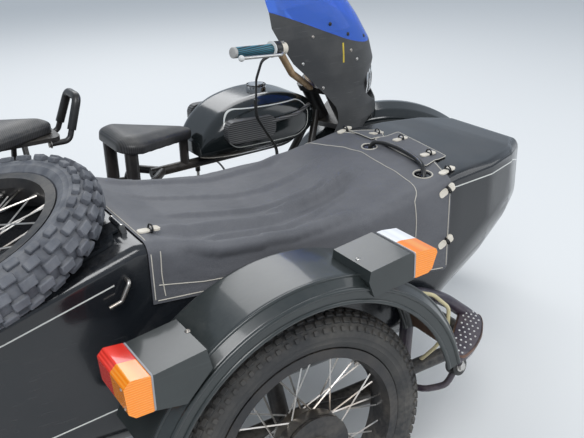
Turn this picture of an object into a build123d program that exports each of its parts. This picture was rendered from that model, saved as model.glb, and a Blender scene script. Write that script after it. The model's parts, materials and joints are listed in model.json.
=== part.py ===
"""Motorcycle with a sidecar on its right: a flat twin with a handlebar fairing, on its three wheels."""

import os
from math import acos, atan2, cos, radians, sin, sqrt

from build123d import *

os.makedirs("parts", exist_ok=True)

# Driving dimensions, in millimetres and degrees.
# Places run forward from the rear axle, left from the motorcycle's centre plane and up from the ground.
REAR_AXLE_X = -546.1
BIKE_Y = 399.0
WHEELBASE = 1430.0
TRACK = 1140.0
SIDECAR_WHEEL_LEAD = 300.0
RAKE = 27.0
TRAIL = 90.0
STEER_AT_REST = -32.0

# Wheels.
TYRE_RADIUS = 340.0
TYRE_HALF_WIDTH = 48.0
SPARE_TYRE_RADIUS = 352.0
SPARE_TYRE_HALF_WIDTH = 51.0
RIM_SEAT_RADIUS = 244.0
RIM_LIP_RADIUS = 258.0
RIM_BED_RADIUS = 226.0
RIM_HALF_WIDTH = 40.0
RIM_WALL = 4.0
HUB_RADIUS = 36.0
HUB_HALF_WIDTH = 46.0
DRUM_RADIUS = 92.0
DRUM_WIDTH = 34.0
DRUM_WALL = 6.0
SPOKE_RADIUS = 2.4
SPOKES = 36
AXLE_RADIUS = 10.0

# Clearances.
RUNNING_FIT = 0.05
SEAT_GAP = 0.3
PLATE_GAP = 2.0

# Sidecar body.
HULL_Y = -695.0
HULL_HALF_WIDTH = 275.0
HULL_FLOOR = 335.0
HULL_WALL = 5.0
TRUNK_SLOPE = 16.5
TRUNK_EDGE_Z = 864.0
LID_THICKNESS = 8.0
TONNEAU_THICKNESS = 4.0
HULL_SIDE_Y = HULL_Y - HULL_HALF_WIDTH

# Fenders.
FENDER_WALL = 3.0
BIKE_FENDER_RADIUS = 396.0
FRONT_FENDER_RADIUS = 425.0
BIKE_FENDER_HALF_WIDTH = 68.0
CAR_FENDER_RADIUS = 450.0
CAR_FENDER_LIP_RADIUS = 396.0

# Tubes.
FRAME_TUBE_RADIUS = 14.0
CHASSIS_TUBE_RADIUS = 21.0
CHASSIS_Z = 275.0
HEAD_TUBE_RADIUS = 26.0
STEM_RADIUS = 15.0
FORK_LEG_Y = 98.0
STANCHION_RADIUS = 18.0
SLIDER_RADIUS = 26.0
SLIDER_LENGTH = 414.0
FAIRING_STAY_ALONG = 955.0
HANDLEBAR_RADIUS = 12.0


def at(x, y, z):
    """A point given from the rear axle, the motorcycle's centre plane and the ground."""
    return (REAR_AXLE_X + x, BIKE_Y + y, z)


def lateral_plane(x):
    """An upright plane across the vehicle, whose sketches run left and up."""
    return Plane(origin=at(x, 0, 0), x_dir=(0, 1, 0), z_dir=(1, 0, 0))


def side_plane(y):
    """An upright plane along the vehicle, whose sketches run forward and up."""
    return Plane(origin=at(0, y, 0), x_dir=(1, 0, 0), z_dir=(0, -1, 0))


def level_plane(z):
    """A level plane whose sketches run forward and left."""
    return Plane(origin=at(0, 0, z), x_dir=(1, 0, 0), z_dir=(0, 0, 1))


def rod(points, radius, bend=30.0):
    """Adds a round bar along a bent path to the part being built."""
    with BuildLine() as path:
        if len(points) == 2:
            Line(*points)
        else:
            FilletPolyline(*points, radius=bend)
    with BuildSketch(Plane(origin=path.line @ 0, z_dir=path.line % 0)) as section:
        Circle(radius)
    sweep(sections=section.sketch, path=path.line)


def save(builder, name, turned=False):
    """Labels a finished piece and writes it, turned about the steering axis if it is steered."""
    piece = builder.part.rotate(STEERING_AXIS, STEER_AT_REST) if turned else builder.part
    piece.label = name
    export_step(piece, f"parts/{name}.step")


# Steering. Places on it run up along the axis from the ground, ahead of it at right angles, and left.
SIN_RAKE = sin(radians(RAKE))
COS_RAKE = cos(radians(RAKE))
STEERING_AXIS = Axis(at(WHEELBASE + TRAIL, 0, 0), (-SIN_RAKE, 0, COS_RAKE))
FORK_OFFSET = TYRE_RADIUS * SIN_RAKE - TRAIL * COS_RAKE
# A turned front wheel leans a little, so its axle stands this much further along to keep the tyre grounded.
LEAN = sin(radians(STEER_AT_REST)) * SIN_RAKE
AXLE_SHIFT = (
    (TYRE_RADIUS - TYRE_HALF_WIDTH) * (sqrt(1 - LEAN**2) - 1)
    + FORK_OFFSET * SIN_RAKE * (1 - cos(radians(STEER_AT_REST)))
) / COS_RAKE
AXLE_ALONG = TYRE_RADIUS * COS_RAKE + TRAIL * SIN_RAKE + AXLE_SHIFT
LOWER_CLAMP_ALONG = AXLE_ALONG + FRONT_FENDER_RADIUS + 49
UPPER_CLAMP_ALONG = LOWER_CLAMP_ALONG + 165
CLAMP_THICKNESS = 26.0


def steer_point(along, ahead, y):
    """A point given along the steering axis from the ground, ahead of it, and to the left."""
    x = WHEELBASE + TRAIL - along * SIN_RAKE + ahead * COS_RAKE
    return at(x, y, along * COS_RAKE + ahead * SIN_RAKE)


def steer_plane(along):
    """A plane square to the steering axis, whose sketches run ahead and left."""
    ahead = (COS_RAKE, 0, SIN_RAKE)
    return Plane(origin=steer_point(along, 0, 0), x_dir=ahead, z_dir=(-SIN_RAKE, 0, COS_RAKE))


# Where the wheels stand: each plane's normal is the wheel's axle, pointing to the drum's side.
FRONT_CENTRE = steer_point(AXLE_ALONG, FORK_OFFSET, 0)
REAR_CENTRE = at(0, 0, TYRE_RADIUS)
CAR_CENTRE = at(SIDECAR_WHEEL_LEAD, -TRACK, TYRE_RADIUS)
# The spare wheel lies on the trunk lid, so far behind the trunk's front edge and so far above its slope.
SPARE_BACK = 318.0
SPARE_LIFT = 72.0
SLOPE = radians(TRUNK_SLOPE)


def trunk_point(back, lift, left=0.0):
    """A point given down the trunk's slope from its front edge, above it, and left of the body's middle."""
    x = -back * cos(SLOPE) - lift * sin(SLOPE)
    return at(x, HULL_Y + left, TRUNK_EDGE_Z - back * sin(SLOPE) + lift * cos(SLOPE))


def trunk_plane(back, lift):
    """A plane along the trunk's slope, whose sketches run forward and left."""
    forward = (cos(SLOPE), 0, sin(SLOPE))
    return Plane(origin=trunk_point(back, lift), x_dir=forward, z_dir=(-sin(SLOPE), 0, cos(SLOPE)))


wheel_planes = {
    "rear": Plane(origin=REAR_CENTRE, x_dir=(1, 0, 0), z_dir=(0, -1, 0)),
    "front": Plane(origin=FRONT_CENTRE, x_dir=(1, 0, 0), z_dir=(0, -1, 0)),
    "sidecar": Plane(origin=CAR_CENTRE, x_dir=(1, 0, 0), z_dir=(0, -1, 0)),
    "spare": trunk_plane(SPARE_BACK, SPARE_LIFT),
}


# Wheel pieces, made once about the Z axis and then put in their places.
def tyre(radius, half_width):
    """A tyre seated on the rim, with a round crown."""
    shoulder = radius - half_width
    with BuildPart() as piece:
        with BuildSketch(Plane.XZ):
            with BuildLine():
                Polyline(
                    (shoulder, half_width),
                    (RIM_LIP_RADIUS + SEAT_GAP, RIM_HALF_WIDTH),
                    (RIM_LIP_RADIUS + SEAT_GAP, RIM_HALF_WIDTH - RIM_WALL - SEAT_GAP),
                    (RIM_SEAT_RADIUS + SEAT_GAP, RIM_HALF_WIDTH - RIM_WALL - SEAT_GAP),
                    (RIM_SEAT_RADIUS + SEAT_GAP, -RIM_HALF_WIDTH + RIM_WALL + SEAT_GAP),
                    (RIM_LIP_RADIUS + SEAT_GAP, -RIM_HALF_WIDTH + RIM_WALL + SEAT_GAP),
                    (RIM_LIP_RADIUS + SEAT_GAP, -RIM_HALF_WIDTH),
                    (shoulder, -half_width),
                )
                ThreePointArc((shoulder, -half_width), (radius, 0), (shoulder, half_width))
            make_face()
        revolve(axis=Axis.Z)
    return piece


with BuildPart() as wheel_rim:
    with BuildSketch(Plane.XZ):
        with BuildLine():
            Polyline(
                (RIM_BED_RADIUS, -18),
                (RIM_BED_RADIUS, 18),
                (RIM_BED_RADIUS + 8, RIM_HALF_WIDTH),
                (RIM_LIP_RADIUS, RIM_HALF_WIDTH),
                (RIM_LIP_RADIUS, RIM_HALF_WIDTH - RIM_WALL),
                (RIM_SEAT_RADIUS, RIM_HALF_WIDTH - RIM_WALL),
                (RIM_SEAT_RADIUS, -RIM_HALF_WIDTH + RIM_WALL),
                (RIM_LIP_RADIUS, -RIM_HALF_WIDTH + RIM_WALL),
                (RIM_LIP_RADIUS, -RIM_HALF_WIDTH),
                (RIM_BED_RADIUS + 8, -RIM_HALF_WIDTH),
                (RIM_BED_RADIUS, -18),
            )
        make_face()
    revolve(axis=Axis.Z)

with BuildPart() as wheel_hub:
    with BuildSketch(Plane.XZ):
        with BuildLine():
            # Half section of the hub: the flange on one side, the open brake drum on the other.
            Polyline(
                (AXLE_RADIUS + RUNNING_FIT, -HUB_HALF_WIDTH),
                (HUB_RADIUS, -HUB_HALF_WIDTH),
                (HUB_RADIUS + 26, -HUB_HALF_WIDTH + 6),
                (HUB_RADIUS + 26, -HUB_HALF_WIDTH + 12),
                (HUB_RADIUS, -HUB_HALF_WIDTH + 16),
                (HUB_RADIUS, HUB_HALF_WIDTH - DRUM_WIDTH - 6),
                (DRUM_RADIUS - 8, HUB_HALF_WIDTH - DRUM_WIDTH),
                (DRUM_RADIUS, HUB_HALF_WIDTH - DRUM_WIDTH + 6),
                (DRUM_RADIUS, HUB_HALF_WIDTH),
                (DRUM_RADIUS - DRUM_WALL, HUB_HALF_WIDTH),
                (DRUM_RADIUS - DRUM_WALL, HUB_HALF_WIDTH - DRUM_WIDTH + DRUM_WALL),
                (AXLE_RADIUS + RUNNING_FIT, HUB_HALF_WIDTH - DRUM_WIDTH + DRUM_WALL),
                close=True,
            )
        make_face()
    revolve(axis=Axis.Z)
    # Laced spokes, alternately from the flange and from the drum, leaning forwards and backwards in turn.
    for index in range(SPOKES):
        on_drum = index % 2
        lean = 28 if index % 4 < 2 else -28
        rim_angle = 360 / SPOKES * index
        foot_radius = DRUM_RADIUS - 3 if on_drum else HUB_RADIUS + 22
        foot_z = HUB_HALF_WIDTH - DRUM_WIDTH + 4 if on_drum else -HUB_HALF_WIDTH + 9
        foot = Vector(foot_radius, 0, foot_z).rotate(Axis.Z, rim_angle + lean)
        tip = Vector(RIM_BED_RADIUS - 1, 0, 6 if on_drum else -6).rotate(Axis.Z, rim_angle)
        with BuildSketch(Plane(origin=foot, z_dir=tip - foot)):
            RegularPolygon(SPOKE_RADIUS, 4)
        extrude(amount=(tip - foot).length)

road_tyre = tyre(TYRE_RADIUS, TYRE_HALF_WIDTH)
knobby_tyre = tyre(SPARE_TYRE_RADIUS, SPARE_TYRE_HALF_WIDTH)
for place, plane in wheel_planes.items():
    pieces = {"tyre": knobby_tyre if place == "spare" else road_tyre, "rim": wheel_rim, "hub": wheel_hub}
    for piece, master in pieces.items():
        seated = plane.location * master.part
        if place == "front":
            seated = seated.rotate(STEERING_AXIS, STEER_AT_REST)
        seated.label = f"{place}_{piece}"
        export_step(seated, f"parts/{place}_{piece}.step")


# Fuel tank: sections across it, from rear to front. Columns: place, half width, foot, top.
TANK_SECTIONS = (
    (584, 88, 702, 742),
    (622, 112, 690, 800),
    (700, 138, 684, 858),
    (800, 148, 684, 884),
    (900, 148, 690, 884),
    (985, 130, 704, 862),
    (1040, 96, 728, 832),
    (1062, 62, 748, 808),
)
with BuildPart() as tank:
    for x, half_width, foot, top in TANK_SECTIONS:
        height = top - foot
        with BuildSketch(lateral_plane(x)):
            with Locations((0, (foot + top) / 2)):
                RectangleRounded(2 * half_width, height, min(height, 2 * half_width) * 0.42)
    loft()
save(tank, "fuel_tank")

# Rubber knee pads on the tank's sides, and the bar that runs forward from the right one.
KNEE_PAD_Y = 157.0
with BuildPart() as knee_pads:
    for side in (1, -1):
        with BuildSketch(side_plane(KNEE_PAD_Y * side)):
            with Locations((750, 790)):
                RectangleRounded(190, 78, 30)
        extrude(amount=30 * side)
    rod([at(828, -151, 803), at(930, -157, 814), at(1016, -106, 824)], 7, bend=60)
    add(tank.part, mode=Mode.SUBTRACT)
save(knee_pads, "knee_pads")

# Motorcycle frame: head tube, backbone, double cradle, seat posts and rear rails.
FENDER_FACE_Y = BIKE_FENDER_HALF_WIDTH + FENDER_WALL / 2 + SEAT_GAP
# Stays of the rear fender. Columns: place, height of the rail, height on the fender.
FENDER_STAYS = ((52, 650, 696), (-130, 612, 676))
POST_X = 385.0
CRADLE_Z = 200.0
CRADLE_Y = 125.0
BACKBONE_Z = 655.0
BACKBONE_RADIUS = 17.0
RAIL_RADIUS = 11.0
RAIL_PEAK_X = 60.0
ENGINE_FLOOR = 225.0
with BuildPart() as frame:
    with BuildSketch(steer_plane(LOWER_CLAMP_ALONG + CLAMP_THICKNESS / 2 + 1)):
        Circle(HEAD_TUBE_RADIUS)
    extrude(amount=UPPER_CLAMP_ALONG - LOWER_CLAMP_ALONG - CLAMP_THICKNESS - 2)
    backbone = [steer_point(LOWER_CLAMP_ALONG + 44, 0, 0), at(980, 0, 668), at(430, 0, BACKBONE_Z)]
    rod(backbone, BACKBONE_RADIUS, bend=120)
    for side in (1, -1):
        rod(
            [
                steer_point(LOWER_CLAMP_ALONG + 52, -14, 10 * side),
                at(985, 95 * side, 470),
                at(925, CRADLE_Y * side, CRADLE_Z),
                at(POST_X, CRADLE_Y * side, CRADLE_Z),
                at(POST_X, 105 * side, BACKBONE_Z),
                at(POST_X + 90, 0, BACKBONE_Z),
            ],
            FRAME_TUBE_RADIUS,
            bend=45,
        )
        peak = at(RAIL_PEAK_X, 112 * side, BACKBONE_Z)
        rod([at(POST_X, 108 * side, 610), peak, at(-150, 108 * side, 610)], RAIL_RADIUS, bend=80)
        # Stays from the rails to the rear fender's sides.
        for x, low, high in FENDER_STAYS:
            knee = at(x, 111 * side, high)
            rod([at(x, 111 * side, low), knee, at(x, FENDER_FACE_Y * side, high)], 7, bend=12)
    rod([at(POST_X, CRADLE_Y, 330), at(POST_X, -CRADLE_Y, 330)], FRAME_TUBE_RADIUS)
    rod([at(POST_X, 105, 600), at(POST_X, -105, 600)], RAIL_RADIUS)
    # Cross tubes and pads under the engine, pads under the tank.
    for x in (620, 800):
        rod([at(x, CRADLE_Y, CRADLE_Z), at(x, -CRADLE_Y, CRADLE_Z)], 12)
        with BuildSketch(level_plane(CRADLE_Z)):
            with Locations((x, 60), (x, -60)):
                Circle(20)
        extrude(amount=ENGINE_FLOOR - SEAT_GAP - CRADLE_Z)
    with BuildSketch(level_plane(BACKBONE_Z)):
        with Locations((660, 0), (900, 0)):
            Circle(16)
    extrude(amount=50)
    add(tank.part, mode=Mode.SUBTRACT)
    with BuildSketch(steer_plane(LOWER_CLAMP_ALONG)):
        Circle(STEM_RADIUS + RUNNING_FIT)
    extrude(amount=260, mode=Mode.SUBTRACT)
save(frame, "bike_frame")

# Flat twin engine and gearbox, one closed block with its sump.
ENGINE_X = 720.0
ENGINE_Z = 405.0
CASE_HALF_WIDTH = 108.0
GEARBOX_HALF_WIDTH = 85.0
with BuildPart() as engine:
    with BuildSketch(side_plane(CASE_HALF_WIDTH)):
        with BuildLine():
            FilletPolyline(
                (880, 300),
                (880, 480),
                (820, 560),
                (600, 560),
                (560, 520),
                (560, ENGINE_FLOOR),
                (840, ENGINE_FLOOR),
                radius=18,
                close=True,
            )
        make_face()
    extrude(amount=2 * CASE_HALF_WIDTH)
    with BuildSketch(side_plane(GEARBOX_HALF_WIDTH)):
        with BuildLine():
            FilletPolyline((560, 500), (430, 480), (412, 420), (412, 300), (560, 260), radius=[24, 24, 24])
            Line((560, 260), (560, 500))
        make_face()
    extrude(amount=2 * GEARBOX_HALF_WIDTH)
    with BuildSketch(lateral_plane(880)):
        with Locations((0, 420)):
            Circle(78)
    extrude(amount=36, taper=12)
save(engine, "engine_block")

# Finned cylinders and their heads, one on each side.
CYLINDER_LENGTH = 150.0
FIN_COUNT = 8
FIN_PITCH = 16.0
with BuildPart() as cylinders:
    for side in (1, -1):
        case_face = (CASE_HALF_WIDTH + SEAT_GAP) * side
        foot = Plane(origin=at(ENGINE_X, case_face, ENGINE_Z), x_dir=(1, 0, 0), z_dir=(0, side, 0))
        with BuildSketch(foot):
            Circle(52)
        extrude(amount=CYLINDER_LENGTH)
        for index in range(FIN_COUNT):
            with BuildSketch(foot.offset(14 + index * FIN_PITCH)):
                RectangleRounded(148, 140, 30)
            extrude(amount=4)
        with BuildSketch(foot.offset(CYLINDER_LENGTH)):
            RectangleRounded(172, 150, 36)
        extrude(amount=44)
        with BuildSketch(foot.offset(CYLINDER_LENGTH + 44)):
            RectangleRounded(158, 118, 40)
        extrude(amount=42, taper=12)
save(cylinders, "cylinders")

# Carburettors behind the cylinder heads, one node of two solids.
with BuildPart() as carburettors:
    for side in (1, -1):
        with BuildSketch(lateral_plane(ENGINE_X - 86 - SEAT_GAP)):
            with Locations((285 * side, ENGINE_Z + 20)):
                Circle(22)
        extrude(amount=-60)
        with BuildSketch(level_plane(ENGINE_Z - 30)):
            with Locations((ENGINE_X - 118, 285 * side)):
                Circle(30)
        extrude(amount=95)
save(carburettors, "carburettors")

# Throttle cables, one pair in two runs that meet where the bars turn past the tank.
CABLE_RADIUS = 3.5
CABLE_PITCH = 8.0
CABLE_MEETING = (716, -250, 919)
with BuildPart() as carburettor_cables:
    for index in range(2):
        shift = CABLE_PITCH * index
        rod(
            [
                at(CABLE_MEETING[0], CABLE_MEETING[1] + shift, CABLE_MEETING[2] - SEAT_GAP),
                at(718, -250 + shift, 860),
                at(796, -242 + shift, 735),
                at(780, -264 + shift, 610),
                at(ENGINE_X - 112, -289 + shift, 570),
                at(ENGINE_X - 118, -289 + shift, ENGINE_Z + 62),
            ],
            CABLE_RADIUS,
            bend=[60, 60, 50, 30],
        )
    add(carburettors.part, mode=Mode.SUBTRACT)
save(carburettor_cables, "carburettor_cables")

# Exhaust pipes and silencers on both sides.
EXHAUST_Y = 215.0
SILENCER_Z = 306.0
with BuildPart() as exhausts:
    for side in (1, -1):
        rod(
            [
                at(ENGINE_X + 86 + SEAT_GAP, 280 * side, ENGINE_Z - 20),
                at(ENGINE_X + 150, 280 * side, ENGINE_Z - 20),
                at(ENGINE_X + 150, EXHAUST_Y * side, 250),
                at(550, EXHAUST_Y * side, 250),
                at(460, EXHAUST_Y * side, SILENCER_Z),
                at(400, EXHAUST_Y * side, SILENCER_Z),
            ],
            19,
            bend=40,
        )
        silencer = [at(430, EXHAUST_Y * side, SILENCER_Z), at(-300, (EXHAUST_Y + 10) * side, SILENCER_Z)]
        rod(silencer, 38)
save(exhausts, "exhausts")

with BuildPart() as tank_cap:
    with BuildSketch(level_plane(870)):
        with Locations((860, 0)):
            Circle(36)
    extrude(amount=26)
    with BuildSketch(level_plane(896)):
        with Locations((860, 0)):
            Circle(30)
    extrude(amount=9, taper=20)
    add(tank.part, mode=Mode.SUBTRACT)
save(tank_cap, "tank_cap")

# Saddles: closed cushions of rubber over pans, on springs and brackets.
SADDLE_TILT = radians(6)
DRIVER_SADDLE_Z = 772.0
with BuildPart() as driver_saddle:
    seat = Plane(
        origin=at(430, 0, DRIVER_SADDLE_Z),
        x_dir=(cos(SADDLE_TILT), 0, -sin(SADDLE_TILT)),
        z_dir=(sin(SADDLE_TILT), 0, cos(SADDLE_TILT)),
    )
    with BuildSketch(seat):
        with Locations((-88, 66), (-88, -66)):
            Circle(68)
        with Locations((124, 0)):
            Circle(34)
        make_hull()
    extrude(amount=46)
    fillet(driver_saddle.edges().group_by(Axis(seat.origin, seat.z_dir))[-1], 16)
save(driver_saddle, "driver_saddle")

PASSENGER_SADDLE_Z = 866.0
PAN_THICKNESS = 12.0
PAN_FOOT_Z = PASSENGER_SADDLE_Z - PAN_THICKNESS - SEAT_GAP
with BuildPart() as passenger_saddle:
    with BuildSketch(level_plane(PASSENGER_SADDLE_Z)):
        with Locations((-110, 62), (-110, -62)):
            Circle(72)
        with Locations((76, 0)):
            Circle(38)
        make_hull()
    extrude(amount=52)
    fillet(passenger_saddle.edges().group_by(Axis.Z)[-1], 18)
save(passenger_saddle, "passenger_saddle")

with BuildPart() as saddle_bracket:
    rod([at(560, 0, BACKBONE_Z + 10), at(560, 0, 756)], 16)
    for side in (1, -1):
        with BuildSketch(level_plane(634)):
            with Locations((330, 100 * side)):
                Circle(22)
        extrude(amount=146)
    add(frame.part, mode=Mode.SUBTRACT)
save(saddle_bracket, "driver_saddle_springs")

with BuildPart() as passenger_bracket:
    with BuildSketch(level_plane(PAN_FOOT_Z)):
        RectangleRounded(250, 150, 30)
    extrude(amount=PAN_THICKNESS)
    # Legs down to the rear rails. Columns: place, height of the rail there.
    for x, rail_z in ((10, 642), (-90, 623)):
        for side in (1, -1):
            knee = at(x, 104 * side, 760)
            rod([at(x, 110 * side, rail_z), knee, at(x, 64 * side, PAN_FOOT_Z + 4)], 9, bend=20)
    add(frame.part, mode=Mode.SUBTRACT)
save(passenger_bracket, "passenger_saddle_bracket")

HANDLE_RADIUS = 9.0
with BuildPart() as grab_handle:
    rod(
        [
            at(90, 62, PAN_FOOT_Z - SEAT_GAP - HANDLE_RADIUS),
            at(150, 62, PAN_FOOT_Z - SEAT_GAP - HANDLE_RADIUS),
            at(196, 46, 972),
            at(196, -46, 972),
            at(150, -62, PAN_FOOT_Z - SEAT_GAP - HANDLE_RADIUS),
            at(90, -62, PAN_FOOT_Z - SEAT_GAP - HANDLE_RADIUS),
        ],
        HANDLE_RADIUS,
        bend=24,
    )
save(grab_handle, "grab_handle")


# Fenders are a thin section turned about their wheel's axle, from one angle above the horizontal to another.
def fender_plane(centre, angle):
    """A plane through a wheel's axle, whose sketches run left and outwards from the axle."""
    turn = radians(angle)
    return Plane(origin=centre, x_dir=(0, 1, 0), z_dir=(sin(turn), 0, -cos(turn)))


def fender(centre, points, radii, start, end):
    """Adds a fender of even wall to the part being built."""
    with BuildSketch(fender_plane(centre, start)) as section:
        with BuildLine():
            FilletPolyline(*points, radius=radii)
        trace(line_width=FENDER_WALL)
    revolve(section.sketch, axis=Axis(centre, (0, -1, 0)), revolution_arc=end - start)


def bike_fender_section(valance, crown):
    """The section of a motorcycle fender from its crown's radius in to its sides' edges."""
    wide = BIKE_FENDER_HALF_WIDTH
    half = [(wide, valance), (wide, crown - 14), (30, crown)]
    return half + [(-left, out) for left, out in reversed(half)]


with BuildPart() as rear_fender:
    fender(REAR_CENTRE, bike_fender_section(340, BIKE_FENDER_RADIUS), [16, 30, 30, 16], 18, 192)
save(rear_fender, "rear_fender")

TAIL_LAMP_Z = 470.0
with BuildPart() as tail_lamp:
    with BuildSketch(lateral_plane(-330)):
        with Locations((0, TAIL_LAMP_Z)):
            Circle(34)
    extrude(amount=-100)
    with BuildSketch(side_plane(0)):
        with Locations((0, TYRE_RADIUS)):
            Circle(BIKE_FENDER_RADIUS + FENDER_WALL / 2 + SEAT_GAP)
    extrude(amount=60, both=True, mode=Mode.SUBTRACT)
save(tail_lamp, "tail_lamp")

# Rear drive: swinging fork, bevel drive housing over the drum, and the axle.
with BuildPart() as rear_drive:
    for side in (1, -1):
        rod([at(POST_X - FRAME_TUBE_RADIUS - SEAT_GAP, 100 * side, 330), at(0, 100 * side, TYRE_RADIUS)], 13)
    rod([at(0, 112, TYRE_RADIUS), at(0, -118, TYRE_RADIUS)], AXLE_RADIUS)
    rod([at(0, 100, TYRE_RADIUS), at(0, HUB_HALF_WIDTH + PLATE_GAP, TYRE_RADIUS)], 20)
    with BuildSketch(side_plane(-HUB_HALF_WIDTH - PLATE_GAP)):
        with Locations((0, TYRE_RADIUS)):
            Circle(DRUM_RADIUS)
    extrude(amount=30)
    with BuildSketch(side_plane(-HUB_HALF_WIDTH - PLATE_GAP - 30)):
        with Locations((0, TYRE_RADIUS)):
            Circle(DRUM_RADIUS)
    extrude(amount=42, taper=35)
save(rear_drive, "rear_drive")

with BuildPart() as shocks:
    for side in (1, -1):
        rod([at(-12, 142 * side, 352), at(40, 142 * side, 662)], 24)
        rod([at(-8, 142 * side, 375), at(-8, 113.5 * side, 345)], 8)
        rod([at(38, 142 * side, 650), at(60, 122 * side, 655)], 8)
    add(frame.part, mode=Mode.SUBTRACT)
    add(rear_drive.part, mode=Mode.SUBTRACT)
save(shocks, "shock_absorbers")

with BuildPart() as foot_pegs:
    for side in (1, -1):
        rod([at(600, (CASE_HALF_WIDTH + SEAT_GAP) * side, 305), at(600, 270 * side, 305)], 11)
save(foot_pegs, "foot_pegs")

with BuildPart() as kick_lever:
    shaft = at(450, GEARBOX_HALF_WIDTH + SEAT_GAP, 430)
    rod([shaft, at(450, 150, 430), at(340, 178, 530), at(340, 240, 530)], 9, bend=18)
save(kick_lever, "kick_lever")


# Sidecar frame: a level tube loop with two cross tubes and pads under the body.
CHASSIS_REAR, CHASSIS_FRONT = -210.0, 1030.0
CHASSIS_INNER, CHASSIS_OUTER = -345.0, -985.0
with BuildPart() as chassis:
    for end in (CHASSIS_REAR, CHASSIS_FRONT):
        rod(
            [
                at(300, CHASSIS_INNER, CHASSIS_Z),
                at(end, CHASSIS_INNER, CHASSIS_Z),
                at(end, CHASSIS_OUTER, CHASSIS_Z),
                at(300, CHASSIS_OUTER, CHASSIS_Z),
            ],
            CHASSIS_TUBE_RADIUS,
            bend=90,
        )
    for x in (120, 760):
        rod([at(x, CHASSIS_INNER, CHASSIS_Z), at(x, CHASSIS_OUTER, CHASSIS_Z)], 18)
        with BuildSketch(level_plane(CHASSIS_Z)):
            with Locations((x, HULL_Y + 110), (x, HULL_Y - 110)):
                Circle(26)
        extrude(amount=HULL_FLOOR - SEAT_GAP - CHASSIS_Z)
save(chassis, "sidecar_frame")

# Links between the two frames. Columns: end on the motorcycle, end on the sidecar frame, radius.
LINKS = (
    (at(934, -122, 215), at(890, CHASSIS_INNER, CHASSIS_Z), 14),
    (at(POST_X, -130, 205), at(300, CHASSIS_INNER, CHASSIS_Z), 16),
    (at(975, -98, 440), at(940, CHASSIS_INNER, CHASSIS_Z), 12),
    (at(POST_X, -112, 540), at(360, CHASSIS_INNER, CHASSIS_Z), 12),
)
with BuildPart() as links:
    for bike_end, car_end, radius in LINKS:
        rod([bike_end, car_end], radius)
    add(frame.part, mode=Mode.SUBTRACT)
    add(chassis.part, mode=Mode.SUBTRACT)
save(links, "sidecar_links")

CAR_DRUM_FACE = -TRACK - HUB_HALF_WIDTH - PLATE_GAP
with BuildPart() as car_axle:
    lead, up = SIDECAR_WHEEL_LEAD, TYRE_RADIUS
    pivot_x = lead + 300
    pivot_y = CHASSIS_OUTER - CHASSIS_TUBE_RADIUS - SEAT_GAP
    rod([at(pivot_x, pivot_y, CHASSIS_Z), at(pivot_x, -1034, CHASSIS_Z)], 18)
    rod([at(pivot_x, -1034, CHASSIS_Z), at(lead, -1044, up)], 16)
    rod([at(lead, -1030, up), at(lead, -TRACK + HUB_HALF_WIDTH + PLATE_GAP, up)], 20)
    rod([at(lead, -1040, up), at(lead, CAR_DRUM_FACE - 34, up)], AXLE_RADIUS)
    with BuildSketch(side_plane(CAR_DRUM_FACE)):
        with Locations((lead, up)):
            Circle(DRUM_RADIUS)
    extrude(amount=8)
    with BuildSketch(side_plane(CAR_DRUM_FACE - 8)):
        with Locations((lead, up)):
            Circle(40)
    extrude(amount=10, taper=20)
    with BuildSketch(side_plane(CAR_DRUM_FACE - 18)):
        with Locations((lead, up)):
            RegularPolygon(18, 6)
    extrude(amount=12)
    # Brake cam and its lever.
    rod([at(lead - 60, CAR_DRUM_FACE - 4, up + 20), at(lead - 60, CAR_DRUM_FACE - 26, up + 20)], 9)
    rod([at(lead - 60, CAR_DRUM_FACE - 20, up + 20), at(lead - 20, CAR_DRUM_FACE - 20, up - 64)], 6)
save(car_axle, "sidecar_axle")

# The sidecar fender's section, from its outer lip over the crown to its inner edge.
CAR_FENDER_POINTS = [
    (-84, CAR_FENDER_LIP_RADIUS),
    (-87, CAR_FENDER_RADIUS - 22),
    (-58, CAR_FENDER_RADIUS - 2),
    (112, CAR_FENDER_RADIUS),
    (118, CAR_FENDER_RADIUS - 26),
]
CAR_FENDER_BENDS = [12, 22, 14]

# Lamp boxes on the fender and their lenses. Columns: box outline, front or rear lens outline, forward and up.
REAR_BOX = ((-96, 652), (-96, 731), (20, 747), (30, 700), (-30, 640))
REAR_LENS = ((-96.3, 652), (-96.3, 732), (-140, 736), (-154, 722), (-150, 664), (-136, 652))
FRONT_BOX = ((415, 770), (420, 795), (530, 809), (543, 802), (543, 740), (430, 730))
FRONT_LENS = ((543.3, 742), (543.3, 805), (560, 806), (606, 800), (610, 790), (596, 752), (584, 744))
BOX_OUTER, BOX_SPLIT, BOX_INNER = -1240.0, -1170.0, -1100.0
with BuildPart() as fender_body:
    with BuildSketch(fender_plane(CAR_CENTRE, 0)):
        with BuildLine():
            lip = CAR_FENDER_LIP_RADIUS - FENDER_WALL
            outline = FilletPolyline(*CAR_FENDER_POINTS, radius=CAR_FENDER_BENDS)
            Polyline(outline @ 1, (118, lip - 60), (-84, lip - 60), outline @ 0)
        make_face()
        offset(amount=FENDER_WALL / 2 + SEAT_GAP)
    revolve(axis=Axis(CAR_CENTRE, (0, -1, 0)))
with BuildPart() as lamp_boxes:
    for outline in (REAR_BOX, FRONT_BOX):
        with BuildSketch(side_plane(BOX_INNER)):
            with BuildLine():
                Polyline(*outline, close=True)
            make_face()
        extrude(amount=BOX_INNER - BOX_OUTER)
    add(fender_body.part, mode=Mode.SUBTRACT)
save(lamp_boxes, "lamp_boxes")


def lens(name, outlines, inner, outer):
    """Lens blocks of one colour, between two widths."""
    with BuildPart() as block:
        for outline in outlines:
            with BuildSketch(side_plane(inner)):
                with BuildLine():
                    FilletPolyline(*outline, radius=5, close=True)
                make_face()
            extrude(amount=inner - outer)
        add(fender_body.part, mode=Mode.SUBTRACT)
    save(block, name)


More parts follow.
